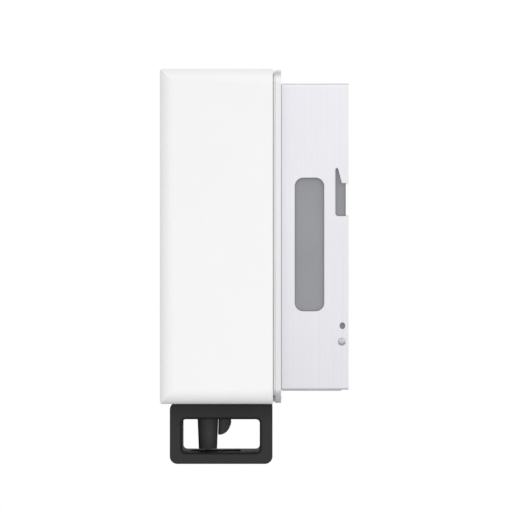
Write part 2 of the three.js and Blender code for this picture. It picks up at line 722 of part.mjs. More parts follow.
function pumpLid() {
  const front = pumpFront - gap - pumpLidThickness;
  const holes = pumpScrewPlaces().map((at) => rod('y', screwPilot + gap, front - past,
    pumpFront + past, at, 12));
  return cut(prism('y', rounded(pumpX, pumpBodyZ, 3), front, pumpFront - gap), ...holes);
}

function pumpRotor() {
  const reach = hoseLoopRadius - hoseRadius - gap;
  const y = [pumpFront + gap, pumpBack - gap];
  const lobe = 3.2;
  let body = join(rod('y', rotorHub, ...y, [pumpSide, pumpZ], 18),
    rod('y', rotorShaft, y[0], motorPlateFront + motorPlateThickness - gap, [pumpSide, pumpZ], 14));
  for (let i = 0; i < lobeCount; i += 1) {
    const turn = 2 * Math.PI * i / lobeCount + Math.PI / 2;
    const centre = reach - lobe;
    const at = [pumpSide + centre * Math.cos(turn), pumpZ + centre * Math.sin(turn)];
    const arm = box(both(1.8), y, [0, centre]).rotate([0, 90 - turn * 180 / Math.PI, 0])
      .translate([pumpSide, 0, pumpZ]);
    body = join(body, arm, rod('y', lobe, ...y, at, 14));
  }
  return body;
}

// A spur gear's outline with straight-flanked teeth; tooth 0 points along `phase`.
function gearOutline(teeth, at, phase) {
  const pitch = gearModule * teeth / 2;
  const tip = pitch + 0.8 * gearModule;
  const root = pitch - 1.15 * gearModule;
  const half = (Math.PI * gearModule / 2 - gearBacklash) / 2;
  const points = [];
  for (let i = 0; i < teeth; i += 1) {
    const middle = phase + 2 * Math.PI * i / teeth;
    for (const [radius, width] of [[root, -1.5], [tip, -0.45], [tip, 0.45], [root, 1.5]]) {
      const turn = middle + width * half / pitch;
      points.push([at[0] + radius * Math.cos(turn), at[1] + radius * Math.sin(turn)]);
    }
  }
  return polygon(points);
}

function gear(teeth, at, phase, bore) {
  return cut(prism('y', gearOutline(teeth, at, phase), gearFront, gearBack),
    rod('y', bore, gearFront - past, gearBack + past, at, 14));
}

function motorPinion() {
  const phase = Math.PI + Math.PI / pinionTeeth;
  const wheel = prism('y', gearOutline(pinionTeeth, [motorX, pumpZ], phase), gearFront, gearBack);
  return join(wheel, rod('y', motorShaft, gearBack - past, motorFront + 4, [motorX, pumpZ], 12));
}

function motor() {
  const can = rod('y', motorRadius, motorFront, motorFront + motorLength, [motorX, pumpZ], 28);
  const boss = rod('y', 3.1, motorPlateFront + gap, motorFront + past, [motorX, pumpZ], 16);
  const bore = rod('y', motorShaft + running, motorPlateFront - past, motorFront + 5, [motorX, pumpZ], 12);
  const flats = both(motorRadius).map((z) => box(both(motorRadius).map((x) => x + motorX),
    [motorFront + 3, motorFront + motorLength + past], both(1.6).map((level) => pumpZ + z + level)));
  const terminals = both(5).map((x) => box([motorX + x - 1, motorX + x + 1],
    [motorFront + motorLength - past, motorFront + motorLength + 2], both(0.4).map((z) => z + pumpZ)));
  return cut(join(cut(join(can, boss), ...flats), ...terminals), bore);
}

// ---------------------------------------------------------------------------------------------
// Outlet: nozzle and sensor
// ---------------------------------------------------------------------------------------------
const nozzleSpigot = nozzleBore + 2.1;
const nozzleCollar = nozzleTopRadius + 1.8;
const nozzleSeat = outletShelfTop - outletShelfThickness - gap;
const guardFloorTop = guardBottom + guardFloor;
const nozzleTip = guardFloorTop + nozzleClearance;
const windowTop = guardTop - guardTopBar;

function nozzle() {
  return turned([
    [nozzleBore, nozzleTip], [nozzleTipRadius - 0.8, nozzleTip], [nozzleTipRadius, nozzleTip + 1],
    [nozzleTopRadius, windowTop], [nozzleTopRadius + 0.3, nozzleSeat - 3], [nozzleCollar, nozzleSeat - 3],
    [nozzleCollar, nozzleSeat], [nozzleSpigot, nozzleSeat], [nozzleSpigot, outletShelfTop],
    [nozzleBore, outletShelfTop],
  ], [0, nozzleY], 28);
}

function nozzleValve() {
  return rod('z', nozzleBore - gap, nozzleTip - 1, nozzleTip + 6, [0, nozzleY], 14);
}

const sensorBack = nozzleY + nozzleTopRadius + 2 * gap + sensorDepth;
const sensorFront = sensorBack - sensorDepth;
const sensorLow = nozzleSeat - sensorDrop;

// A hollow shroud whose lower end slopes up to the rear, ribbed across its back.
function sensorHousing() {
  const y = [sensorFront, sensorBack];
  const high = sensorLow + sensorSlope;
  const side = polygon([[y[0], nozzleSeat], [y[0], sensorLow], [y[0] + 1.2, sensorLow], [y[1], high],
    [y[1], nozzleSeat]]);
  const body = prism('x', side, ...both(sensorWidth / 2));
  const hollow = box(both(sensorWidth / 2 - 1.6), [y[0] + 1.6, y[1] - 1.6],
    [sensorLow - past, nozzleSeat - 6]);
  const clearance = rod('z', nozzleCollar + gap, nozzleSeat - 3 - gap, nozzleSeat + past, [0, nozzleY]);
  const ribs = [];
  for (let z = high + 2; z < windowTop + 4; z += 2.2) {
    ribs.push(box(both(sensorWidth / 2 + past), [y[1] - 0.6, y[1] + past], [z - 0.5, z + 0.5]));
  }
  return cut(body, hollow, clearance, ...ribs);
}

function sensorLens() {
  const y = [sensorFront + 1.6 + gap, sensorBack - 1.6 - gap];
  const z = [sensorLow + sensorSlope + 1, sensorLow + sensorSlope + 3];
  return box([-sensorWidth / 2 + 1.6 + gap, 4], y, z);
}

function statusLed() {
  const y = (sensorFront + sensorBack) / 2;
  return rod('z', 1.5, sensorLow + sensorSlope + 1, sensorLow + sensorSlope + 6, [6.4, y], 12);
}

// ---------------------------------------------------------------------------------------------
// Switches on the chassis panel
// ---------------------------------------------------------------------------------------------
function powerButton() {
  const flangeFront = panelFront + panelThickness + gap;
  return join(rod('y', buttonRadius, panelFront - 1.6, flangeFront + past, buttonAt),
    rod('y', buttonRadius + 1.2, flangeFront, flangeFront + 1.2, buttonAt));
}

function doseSwitch() {
  const flangeFront = panelFront + panelThickness + gap;
  const x = switchAt[0] - switchTravel / 2;
  return join(
    box([x - 2, x + 2], [panelFront - 1.4, flangeFront + past], both(1.5).map((z) => z + switchAt[1])),
    box([x - 3.5, x + 3.5], [flangeFront, flangeFront + 1.2], both(2.6).map((z) => z + switchAt[1])));
}

function switchBoard() {
  const y = panelFront + panelThickness + 5;
  return box([panelX[0] + 1, panelX[1] - 1], [y, y + 1.4], [panelZ[0] + 2, shelfTop - shelfThickness - gap]);
}

// ---------------------------------------------------------------------------------------------
// Cover, its lock and the outlet guard
// ---------------------------------------------------------------------------------------------
const passageSide = 16;
const passageY = [guardFront + 4, sensorBack + 5];

// Upright edges, front-view corners and front edges each rounded by their own radius.
function coverBlock(inset, back) {
  const side = coverSide - inset;
  const [front, bottom, top] = [coverFront + inset, coverBottom + inset, coverTop - inset];
  const upright = coverFrontRadius - inset;
  const corner = coverCorner - inset;
  const edge = Math.max(coverEdge - inset, 0.5);
  const plan = new THREE.Shape();
  plan.moveTo(side, back);
  plan.lineTo(-side, back);
  plan.absarc(-side + upright, front + upright, upright, Math.PI, Math.PI * 1.5);
  plan.absarc(side - upright, front + upright, upright, Math.PI * 1.5, Math.PI * 2);
  const profile = new THREE.Shape();
  profile.moveTo(back, bottom);
  profile.lineTo(back, top);
  profile.absarc(front + edge, top - edge, edge, Math.PI / 2, Math.PI);
  profile.absarc(front + edge, bottom + edge, edge, Math.PI, Math.PI * 1.5);
  return prism('z', plan, bottom, top, 4)
    .intersect(prism('y', rounded(both(side), [bottom, top], corner), front, back, 4))
    .intersect(prism('x', profile, -side, side, 2));
}

function frontCover() {
  let body = cut(coverBlock(0, coverBack), coverBlock(coverWall, coverBack + past));
  for (const x of both(hingeSide)) {
    const across = both(earThickness / 2).map((half) => x + half);
    const ear = new THREE.Shape();
    ear.moveTo(hingeY, hingeZ - earRadius);
    ear.absarc(hingeY, hingeZ, earRadius, -Math.PI / 2, Math.PI / 2);
    ear.lineTo(coverBack - 6, hingeZ + earRadius);
    ear.lineTo(coverBack - 9, coverBottom + coverWall / 2);
    ear.lineTo(coverBack - gap, coverBottom + coverWall / 2);
    body = cut(join(body, prism('x', ear, ...across, 4)),
      rod('x', hingePin + running, across[0] - past, across[1] + past, [hingeY, hingeZ], 16));
  }
  const wallThrough = [coverBottom - past, coverBottom + coverWall + past];
  return cut(body,
    box(both(passageSide), passageY, wallThrough),
    rod('z', lockRadius + running, coverTop - coverWall - past, coverTop + past, [0, lockY], 28),
    box(both(levelWindowWidth / 2), [coverFront - past, coverFront + coverWall + past],
      both(levelWindowHeight / 2).map((z) => z + levelWindowRise)),
    ...guardScrewPlaces().map((at) => rod('z', screwPilot + gap, ...wallThrough, at, 12)));
}

function levelWindow() {
  return box(both(levelWindowWidth / 2 - gap), [coverFront + gap, coverFront + coverWall],
    both(levelWindowHeight / 2 - gap).map((z) => z + levelWindowRise));
}

function guardScrewPlaces() {
  return both(guardWidth / 2 - 12).flatMap((x) => [[x, guardFront + 12], [x, guardBack - 12]]);
}

function nozzleGuard() {
  const loop = prism('x', rounded([guardFront, guardBack], [guardBottom, guardTop], guardCorner),
    ...both(guardWidth / 2));
  const window = rounded([guardFront + guardFrontBar, guardBack - guardRearBar],
    [guardFloorTop, windowTop], guardWindowCorner);
  const floorHole = box(both(passageSide - 2), [nozzleY - nozzleTopRadius - 5, sensorBack + 6],
    [guardBottom - past, guardFloorTop + past]);
  const pilots = guardScrewPlaces().map((at) => rod('z', screwPilot + 0.2, guardTop - 7,
    guardTop + past, at, 12));
  return cut(loop, prism('x', window, ...both(guardWidth / 2 + past)),
    box(both(passageSide), passageY, [windowTop - guardWindowCorner - past, guardTop + past]),
    floorHole, ...pilots);
}

function guardScrew(at) {
  const seat = coverBottom + coverWall + gap;
  const cross = box(both(1.5).map((x) => x + at[0]), both(0.35).map((y) => y + at[1]),
    [seat + 1, seat + 2 + past]);
  const head = rod('z', 2.6, seat, seat + 1.9, at, 14);
  const shank = rod('z', screwPilot, guardTop - 6.5, seat + gap, at, 12);
  return cut(join(head, shank), cross);
}

function lockBarrel() {
  const neck = 4;
  const boss = 1.7;
  const keyway = box(both(3.2), both(0.6).map((y) => y + lockY), [lockTop - 3, lockTop + past]);
  return cut(join(rod('z', lockRadius, camTop + 4, lockTop, [0, lockY], 28),
    rod('z', neck, camTop + gap, camTop + 4 + past, [0, lockY], 20),
    box(both(boss), both(boss).map((y) => y + lockY), [camTop - camThickness, camTop + past])), keyway);
}

function lockCam() {
  const reach = rounded(both(camWidth / 2), [lockY - 4, lockY + camReach], 1.2);
  const square = box(both(2), both(2).map((y) => y + lockY), [camTop - camThickness - past, camTop + past]);
  return cut(join(prism('z', reach, camTop - camThickness, camTop),
    rod('z', 4.2, camTop - camThickness, camTop, [0, lockY])), square);
}

function lockNut() {
  const top = coverTop - coverWall - gap;
  return cut(rod('z', lockRadius + 3.5, top - 3, top, [0, lockY], 6),
    rod('z', lockRadius + running, top - 3 - past, top + past, [0, lockY], 28));
}

// ---------------------------------------------------------------------------------------------
// The assembly
// ---------------------------------------------------------------------------------------------
add('wall_plate', wallPlate(), steel);
add('rear_housing', rearHousing(), brushedSteel);
add('side_screw_right', sideScrew(1), steel);
add('side_screw_left', sideScrew(-1), steel);
add('rear_tub', rearTub(), greyPlastic);
add('battery_box', batteryBox(), blackPlastic);
add('contact_strip_top', contactStrip(1), brass);
add('contact_strip_bottom', contactStrip(-1), brass);
for (let i = 0; i < batteryCount; i += 1) add(`battery_${i + 1}`, battery(i), batteryWrap);
add('control_board', controlBoard(), boardGreen);
add('board_chip', boardChip(), blackPlastic);
add('board_capacitor', boardCapacitor(), steel);

add('base_frame', baseFrame(), satinMetal);
frameScrewPlaces().forEach((at, i) => add(`frame_screw_${i + 1}`,
  panScrew(at, onFrame, housingFront + sheet + 3, frameScrewShank, frameScrewHead, 1.9), steel));
add('battery_lid', batteryLid(), greyPlastic);
add('hinge_pin_right', hingePinSolid(1), steel);
add('hinge_pin_left', hingePinSolid(-1), steel);
add('lock_catch', lockCatch(), steel);
add('catch_screw', panScrew(catchScrewAt, onFrame - 2 - gap, frameBack - past, screwPilot, 2.6, 1.7), steel);

add('tank', tank(), clearPlastic);
add('tank_cap', tankCap(), blackPlastic);
add('cap_gasket', capGasket(), rubber);
add('hose_collar', hoseCollar(), greyPlastic);

add('pump_chassis', chassis(), greyPlastic);
chassisScrewPlaces().forEach((at, i) => add(`chassis_screw_${i + 1}`,
  panScrew(at, chassisBack - chassisPlate - gap, frameBack - past, screwPilot, 2.6, 1.7), steel));
add('pump_body', pumpBody(), greyPlastic);
add('pump_lid', pumpLid(), clearPlastic);
pumpScrewPlaces().forEach((at, i) => add(`pump_screw_${i + 1}`,
  panScrew(at, pumpFront - 2 * gap - pumpLidThickness, motorPlateFront + past, screwPilot, 2.6, 1.7), steel));
add('pump_hose', hoseSolid(), silicone);
add('pump_rotor', pumpRotor(), gearPlastic);
add('rotor_gear', gear(gearTeeth, [pumpSide, pumpZ], 0, rotorShaft + 0.2), gearPlastic);
add('motor', motor(), steel);
add('motor_pinion', motorPinion(), brass);

add('nozzle', nozzle(), blackPlastic);
add('nozzle_valve', nozzleValve(), silicone);
add('sensor_housing', sensorHousing(), blackPlastic);
add('sensor_lens', sensorLens(), sensorGlass);
add('status_led', statusLed(), ledPlastic);
add('power_button', powerButton(), rubber);
add('dose_switch', doseSwitch(), whitePlastic);
add('switch_board', switchBoard(), boardGreen);

add('front_cover', frontCover(), whitePlastic);
add('level_window', levelWindow(), smokyPlastic);
add('nozzle_guard', nozzleGuard(), blackPlastic);
guardScrewPlaces().forEach((at, i) => add(`guard_screw_${i + 1}`, guardScrew(at), steel));
add('lock_barrel', lockBarrel(), steel);
add('lock_cam', lockCam(), steel);
add('lock_nut', lockNut(), brass);

export default model;
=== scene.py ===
import json
import math

import bmesh
import bpy
from mathutils import Matrix, Vector


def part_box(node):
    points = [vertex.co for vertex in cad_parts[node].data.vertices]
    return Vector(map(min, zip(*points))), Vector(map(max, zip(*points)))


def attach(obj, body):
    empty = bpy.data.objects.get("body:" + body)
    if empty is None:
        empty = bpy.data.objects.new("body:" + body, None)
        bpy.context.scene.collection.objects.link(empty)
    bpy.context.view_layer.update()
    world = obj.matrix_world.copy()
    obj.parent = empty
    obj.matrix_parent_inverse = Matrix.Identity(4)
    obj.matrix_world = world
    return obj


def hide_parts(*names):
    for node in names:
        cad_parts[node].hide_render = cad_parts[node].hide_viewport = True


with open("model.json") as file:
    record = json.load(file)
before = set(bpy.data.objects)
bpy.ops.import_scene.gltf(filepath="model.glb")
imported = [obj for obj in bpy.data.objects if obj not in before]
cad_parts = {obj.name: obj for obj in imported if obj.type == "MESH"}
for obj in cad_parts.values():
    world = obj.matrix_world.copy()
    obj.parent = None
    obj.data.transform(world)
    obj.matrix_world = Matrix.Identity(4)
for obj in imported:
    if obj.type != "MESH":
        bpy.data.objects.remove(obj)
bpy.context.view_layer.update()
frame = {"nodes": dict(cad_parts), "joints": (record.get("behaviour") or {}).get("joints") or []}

MM = 0.001
PAST = 1.0  # how far a cutting tool runs past the face it cuts


# ------------------------------------------------------------------------------------------------
# Mesh making
# ------------------------------------------------------------------------------------------------
def span(node, axis):
    """Lowest and highest millimetre of a CAD node along axis 0, 1 or 2."""
    low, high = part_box(node)
    return low[axis] / MM, high[axis] / MM


def make_object(points, faces):
    """A linked object from millimetre points, its doubles merged and its faces turned outward."""
    mesh = bpy.data.meshes.new("tool")
    mesh.from_pydata([Vector(p) * MM for p in points], [], faces)
    tidy = bmesh.new()
    tidy.from_mesh(mesh)
    bmesh.ops.remove_doubles(tidy, verts=tidy.verts, dist=1e-6)
    bmesh.ops.recalc_face_normals(tidy, faces=tidy.faces)
    tidy.to_mesh(mesh)
    tidy.free()
    made = bpy.data.objects.new("tool", mesh)
    bpy.context.collection.objects.link(made)
    return made


PLACE = {
    "x": lambda u, v, t: (t, u, v),
    "y": lambda u, v, t: (u, t, v),
    "z": lambda u, v, t: (u, v, t),
}


def ring_faces(around, levels):
    """Faces of a closed skin over levels + 1 rings of points, each with around of them."""
    faces = []
    for j in range(levels):
        for i in range(around):
            k = (i + 1) % around
            faces.append((j * around + i, j * around + k, (j + 1) * around + k, (j + 1) * around + i))
    faces.append(tuple(range(around)))
    faces.append(tuple(levels * around + i for i in range(around)))
    return faces


def prism(axis, outline, low, high):
    """An outline drawn across an axis, pushed along it from low to high."""
    place = PLACE[axis]
    points = [place(u, v, t) for t in (low, high) for u, v in outline]
    return make_object(points, ring_faces(len(outline), 1))


def box(x, y, z):
    return prism("z", [(x[0], y[0]), (x[1], y[0]), (x[1], y[1]), (x[0], y[1])], z[0], z[1])


def arc(u, v, radius, start, end, steps):
    """Points on a round stretch, in degrees, both ends included."""
    turns = [math.radians(start + (end - start) * i / steps) for i in range(steps + 1)]
    return [(u + radius * math.cos(a), v + radius * math.sin(a)) for a in turns]


def rounded(u, v, radius, steps=8):
    """A rectangle with round corners; radius may be one number or four, from the low corner round."""
    r = radius if isinstance(radius, (tuple, list)) else (radius,) * 4
    return (
        arc(u[0] + r[0], v[0] + r[0], r[0], 180, 270, steps)
        + arc(u[1] - r[1], v[0] + r[1], r[1], 270, 360, steps)
        + arc(u[1] - r[2], v[1] - r[2], r[2], 0, 90, steps)
        + arc(u[0] + r[3], v[1] - r[3], r[3], 90, 180, steps)
    )


def disc(u, v, radius, steps=48):
    return arc(u, v, radius, 0, 360 - 360 / steps, steps - 1)


def rod(axis, radius, low, high, at=(0, 0), steps=48):
    return prism(axis, disc(at[0], at[1], radius, steps), low, high)


def turned(profile, at=(0, 0), steps=64):
    """A profile of (radius, height) points turned round an upright axis at (x, y)."""
    points, faces, rings = [], [], []
    for radius, height in profile:
        if radius == 0:
            rings.append([len(points)] * steps)
            points.append((at[0], at[1], height))
            continue
        rings.append(list(range(len(points), len(points) + steps)))
        for i in range(steps):
            a = 2 * math.pi * i / steps
            points.append((at[0] + radius * math.cos(a), at[1] + radius * math.sin(a), height))
    closed = profile[0][0] > 0
    pairs = list(zip(rings, rings[1:] + rings[:1])) if closed else list(zip(rings, rings[1:]))
    for low, high in pairs:
        for i in range(steps):
            j = (i + 1) % steps
            corners = [low[i], low[j], high[j], high[i]]
            faces.append(tuple(dict.fromkeys(corners)))
    return make_object(points, faces)


def apply_all(target):
    graph = bpy.context.evaluated_depsgraph_get()
    mesh = bpy.data.meshes.new_from_object(target.evaluated_get(graph))
    target.modifiers.clear()
    target.data = mesh
    return target


def combine(target, tools, operation):
    for tool in tools:
        step = target.modifiers.new("combine", "BOOLEAN")
        step.operation = operation
        step.solver = "EXACT"
        step.object = tool
        apply_all(target)
        bpy.data.objects.remove(tool)
    return target


def cut(target, *tools):
    return combine(target, tools, "DIFFERENCE")


def join(target, *others):
    return combine(target, others, "UNION")


def common(target, *others):
    return combine(target, others, "INTERSECT")


def moved(target, matrix):
    target.data.transform(matrix)
    return target


def add_bevel(target, width, segments, limit):
    bevel = target.modifiers.new("edges", "BEVEL")
    bevel.width = width * MM
    bevel.segments = segments
    bevel.limit_method = "ANGLE"
    bevel.angle_limit = math.radians(limit)
    return bevel


def soften(target, width=0.3, segments=3, limit=32):
    """Rounds the edges and shades the result smooth with flat faces kept flat."""
    for face in target.data.polygons:
        face.use_smooth = True
    if width:
        bevel = add_bevel(target, width, segments, limit)
        bevel.use_clamp_overlap = True
        bevel.miter_outer = "MITER_ARC"
    normals = target.modifiers.new("normals", "WEIGHTED_NORMAL")
    normals.keep_sharp = True
    normals.weight = 80
    return target


def finished(target, name, body, nodes, look, width=0.3, segments=3, limit=32):
    """Names a piece, rounds it, dresses it, and puts it in place of its CAD nodes."""
    target.name = name
    target.data.name = name
    soften(target, width, segments, limit)
    target.data.materials.clear()
    target.data.materials.append(look)
    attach(target, body)
    if nodes:
        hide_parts(*nodes)
    return target


def pre_rounded(target, width, segments=5, limit=40):
    """Rounds a simple block's sharp edges as real geometry, for blocks that are cut or joined later."""
    add_bevel(target, width, segments, limit)
    return apply_all(target)


def two_materials(target, second, chosen):
    """Gives a second material to the faces whose middle, in millimetres, is chosen."""
    target.data.materials.append(second)
    for face in target.data.polygons:
        if chosen(face.center / MM):
            face.material_index = 1


# ------------------------------------------------------------------------------------------------
# Materials
# ------------------------------------------------------------------------------------------------
class Look:
    """A Principled material with a few short ways to add procedural detail."""

    def __init__(self, name, roughness=0.5, metallic=0.0):
        self.material = bpy.data.materials.new(name)
        self.material.use_nodes = True
        self.nodes = self.material.node_tree.nodes
        self.links = self.material.node_tree.links
        self.shader = self.nodes["Principled BSDF"]
        self.shader.inputs["Roughness"].default_value = roughness
        self.shader.inputs["Metallic"].default_value = metallic
        self.place = self.nodes.new("ShaderNodeTexCoord").outputs["Object"]

    def node(self, kind, **settings):
        made = self.nodes.new(kind)
        for key, value in settings.items():
            setattr(made, key, value)
        return made

    def feed(self, socket, value):
        if hasattr(value, "is_linked"):
            self.links.new(value, socket)
        else:
            socket.default_value = value

    def stretched(self, scale):
        mapping = self.node("ShaderNodeMapping")
        self.feed(mapping.inputs["Vector"], self.place)
        mapping.inputs["Scale"].default_value = scale
        return mapping.outputs["Vector"]

    def noise(self, scale, detail=3.0, rough=0.5, where=None):
        made = self.node("ShaderNodeTexNoise")
        self.feed(made.inputs["Vector"], where or self.place)
        made.inputs["Scale"].default_value = scale
        made.inputs["Detail"].default_value = detail
        made.inputs["Roughness"].default_value = rough
        return made.outputs["Fac"]

    def ranged(self, value, low, high, start=0.3, end=0.7):
        made = self.node("ShaderNodeMapRange")
        self.feed(made.inputs["Value"], value)
        made.inputs["From Min"].default_value = start
        made.inputs["From Max"].default_value = end
        made.inputs["To Min"].default_value = low
        made.inputs["To Max"].default_value = high
        return made.outputs["Result"]

    def mix(self, factor, first, second, blend="MIX"):
        made = self.node("ShaderNodeMix", data_type="RGBA", blend_type=blend)
        self.feed(made.inputs["Factor"], factor)
        self.feed(made.inputs["A"], first)
        self.feed(made.inputs["B"], second)
        return made.outputs["Result"]

    def rubbed_and_highlit_edges(self, radius=0.5):
        """Mask for lightened edges, partly rubbed wear and partly a painted edge highlight: near 1 on
        convex and concave edges, 0 on flat and gently curved faces.
        """
        bevel = self.node("ShaderNodeBevel", samples=4)
        bevel.inputs["Radius"].default_value = radius * MM
        geometry = self.node("ShaderNodeNewGeometry")
        dot = self.node("ShaderNodeVectorMath", operation="DOT_PRODUCT")
        self.feed(dot.inputs[0], bevel.outputs["Normal"])
        self.feed(dot.inputs[1], geometry.outputs["Normal"])
        return self.ranged(dot.outputs["Value"], 1.0, 0.0, 0.80, 0.995)

    def colour(self, value):
        self.feed(self.shader.inputs["Base Color"], value)

    def rough(self, value):
        self.feed(self.shader.inputs["Roughness"], value)

    def bump(self, height, strength=0.3, depth=0.02, after=None):
        made = self.node("ShaderNodeBump")
        made.inputs["Strength"].default_value = strength
        made.inputs["Distance"].default_value = depth * MM
        self.feed(made.inputs["Height"], height)
        if after is not None:
            self.feed(made.inputs["Normal"], after)
        self.feed(self.shader.inputs["Normal"], made.outputs["Normal"])
        return made.outputs["Normal"]


def shade(rgb, factor):
    return (rgb[0] * factor, rgb[1] * factor, rgb[2] * factor, 1.0)


def moulded(name, rgb, roughness, grain=1800, depth=0.012, mottle=0.03, wear_and_highlight=0.0, specular=0.5):
    """Moulded plastic: a fine erosion grain, slow tone changes and lightened edges, partly rubbed wear
    and partly a painted edge highlight.
    """
    look = Look(name, roughness)
    look.shader.inputs["Specular IOR Level"].default_value = specular
    slow = look.ranged(look.noise(28, 4), 0.0, 1.0)
    base = look.mix(slow, shade(rgb, 1 - mottle), shade(rgb, 1 + mottle))
    # Edges lightened: partly rubbed wear, partly a painted edge highlight
    if wear_and_highlight:
        base = look.mix(look.rubbed_and_highlit_edges(), base, shade(rgb, 1 + wear_and_highlight))
    look.colour(base)
    look.rough(look.ranged(look.noise(90, 3), roughness * 0.9, roughness * 1.12))
    fine = look.noise(grain, 2, 0.6)
    soft = look.bump(look.noise(60, 2), 0.08, 0.25)
    look.bump(fine, 0.25, depth, after=soft)
    return look.material


def brushed(name, rgb, roughness, streak=0.02):
    """Sheet metal brushed upright on its sides and across on its top and bottom."""
    look = Look(name, roughness, 1.0)
    look.shader.inputs["Anisotropic"].default_value = 0.35
    upright = look.noise(1.0, 4, 0.65, look.stretched((760, 760, 7)))
    across = look.noise(1.0, 4, 0.65, look.stretched((7, 760, 760)))
    facing = look.node("ShaderNodeSeparateXYZ")
    look.feed(facing.inputs[0], look.node("ShaderNodeNewGeometry").outputs["Normal"])
    lying = look.node("ShaderNodeMath", operation="ABSOLUTE")
    look.feed(lying.inputs[0], facing.outputs["Z"])
    which = look.ranged(lying.outputs[0], 0.0, 1.0, 0.6, 0.8)
    grain = look.mix(which, upright, across)
    slow = look.ranged(look.noise(9, 2), 1 - streak * 0.5, 1 + streak * 0.5)
    fine = look.ranged(grain, 1 - streak, 1 + streak, 0.25, 0.75)
    tone = look.node("ShaderNodeMath", operation="MULTIPLY")
    look.feed(tone.inputs[0], slow)
    look.feed(tone.inputs[1], fine)
    tinted = look.node("ShaderNodeVectorMath", operation="SCALE")
    tinted.inputs[0].default_value = rgb
    look.feed(tinted.inputs["Scale"], tone.outputs[0])
    look.colour(tinted.outputs[0])
    look.rough(look.ranged(grain, roughness * 0.85, roughness * 1.2, 0.25, 0.75))
    look.bump(grain, 0.22, 0.015)
    return look.material


def metal(name, rgb, roughness, wear_and_highlight=0.25):
    look = Look(name, roughness, 1.0)
    slow = look.ranged(look.noise(160, 4), 0.0, 1.0)
    base = look.mix(slow, shade(rgb, 0.93), shade(rgb, 1.05))
    # Edges lightened: partly rubbed wear, partly a painted edge highlight
    look.colour(look.mix(look.rubbed_and_highlit_edges(0.25), base, shade(rgb, 1 + wear_and_highlight)))
    look.rough(look.ranged(look.noise(420, 4), roughness * 0.88, roughness * 1.3))
    look.bump(look.noise(900, 3), 0.15, 0.01)
    return look.material


def see_through(name, rgb, roughness, transmission, ior=1.49):
    look = Look(name, roughness)
    look.shader.inputs["Transmission Weight"].default_value = transmission
    look.shader.inputs["IOR"].default_value = ior
    slow = look.ranged(look.noise(40, 3), 0.0, 1.0)
    look.colour(look.mix(slow, shade(rgb, 0.97), shade(rgb, 1.02)))
    look.rough(look.ranged(look.noise(120, 3), roughness * 0.9, roughness * 1.25))
    look.bump(look.noise(1400, 2), 0.1, 0.004)
    return look.material


COVER_WHITE = moulded("cover_white", (0.83, 0.83, 0.83), 0.42, grain=2600, depth=0.006, mottle=0.006)
FRAME_SATIN = brushed("frame_satin", (0.785, 0.785, 0.80), 0.33, streak=0.012)
BRUSHED = brushed("brushed_sheet", (0.80, 0.793, 0.835), 0.36, streak=0.05)
TUB_GREY = moulded("tub_grey", (0.275, 0.28, 0.296), 0.55, mottle=0.04)
CARRIER_GREY = moulded("carrier_grey", (0.42, 0.425, 0.44), 0.5, mottle=0.04, wear_and_highlight=0.12)
GUARD_BLACK = moulded("guard_black", (0.030, 0.030, 0.0305), 0.6, grain=1500, depth=0.02,
                      mottle=0.08, wear_and_highlight=0.35, specular=0.12)
NOZZLE_BLACK = moulded("nozzle_black", (0.075, 0.075, 0.077), 0.5, grain=1500, depth=0.015,
                       mottle=0.08, wear_and_highlight=0.3, specular=0.15)
# The guard's black made darker: painted shade for the inside of the guard's window and the chamfers
# round it
GUARD_PAINTED_SHADE = moulded("guard_black_painted_shade", (0.021, 0.021, 0.0213), 0.6, grain=1500, depth=0.02,
                      mottle=0.08, wear_and_highlight=0.2, specular=0.06)
BOX_BLACK = moulded("box_black", (0.020, 0.020, 0.021), 0.55, mottle=0.08, wear_and_highlight=0.4)
RUBBER = moulded("rubber", (0.022, 0.022, 0.024), 0.8, grain=900, depth=0.03, mottle=0.12, specular=0.3)
SILICONE = moulded("silicone", (0.72, 0.74, 0.73), 0.45, grain=700, depth=0.02, mottle=0.04)
GEAR_CREAM = moulded("gear_cream", (0.78, 0.73, 0.60), 0.42, mottle=0.04, wear_and_highlight=0.08)
PLATE_COAT = moulded("plate_coat", (0.88, 0.88, 0.885), 0.45, grain=1100, depth=0.03,
                     mottle=0.015, wear_and_highlight=0.04)
STEEL = metal("zinc_steel", (0.62, 0.63, 0.65), 0.33)
BRASS = metal("brass", (0.75, 0.58, 0.27), 0.33)
CLEAR = see_through("clear_plastic", (0.90, 0.94, 0.95), 0.18, 0.85)
SMOKY = see_through("smoky_plastic", (0.05, 0.055, 0.06), 0.10, 0.55)
LENS = see_through("sensor_lens", (0.10, 0.01, 0.02), 0.06, 0.35)
LED = moulded("led_green", (0.15, 0.55, 0.25), 0.23, mottle=0.03)
CARRIER_DARK = moulded("carrier_dark", (0.10, 0.102, 0.108), 0.5, mottle=0.06, wear_and_highlight=0.25, specular=0.35)
BOTTLE = see_through("bottle_plastic", (0.84, 0.87, 0.88), 0.34, 0.30)


def board(name):
    """Green solder mask with paler tracks under it and small tinned pads."""
    look = Look(name, 0.35)
    tracks = look.node("ShaderNodeTexBrick")
    look.feed(tracks.inputs["Vector"], look.place)
    sizes = {"Scale": 160, "Mortar Size": 0.035, "Brick Width": 1.4, "Row Height": 0.5}
    for socket, value in sizes.items():
        tracks.inputs[socket].default_value = value
    tracks.inputs["Color1"].default_value = (0.012, 0.085, 0.035, 1)
    tracks.inputs["Color2"].default_value = (0.016, 0.105, 0.045, 1)
    tracks.inputs["Mortar"].default_value = (0.035, 0.22, 0.09, 1)
    pads = look.node("ShaderNodeTexVoronoi")
    look.feed(pads.inputs["Vector"], look.place)
    pads.inputs["Scale"].default_value = 240
    dot = look.ranged(pads.outputs["Distance"], 1.0, 0.0, 0.16, 0.22)
    look.colour(look.mix(dot, tracks.outputs["Color"], (0.62, 0.60, 0.52, 1)))
    look.rough(look.ranged(look.noise(200, 3), 0.28, 0.42))
    look.bump(tracks.outputs["Fac"], 0.2, 0.02)
    return look.material


BAND_HEIGHT = 14  # of the copper coloured band
BAND_BLUR = 0.2


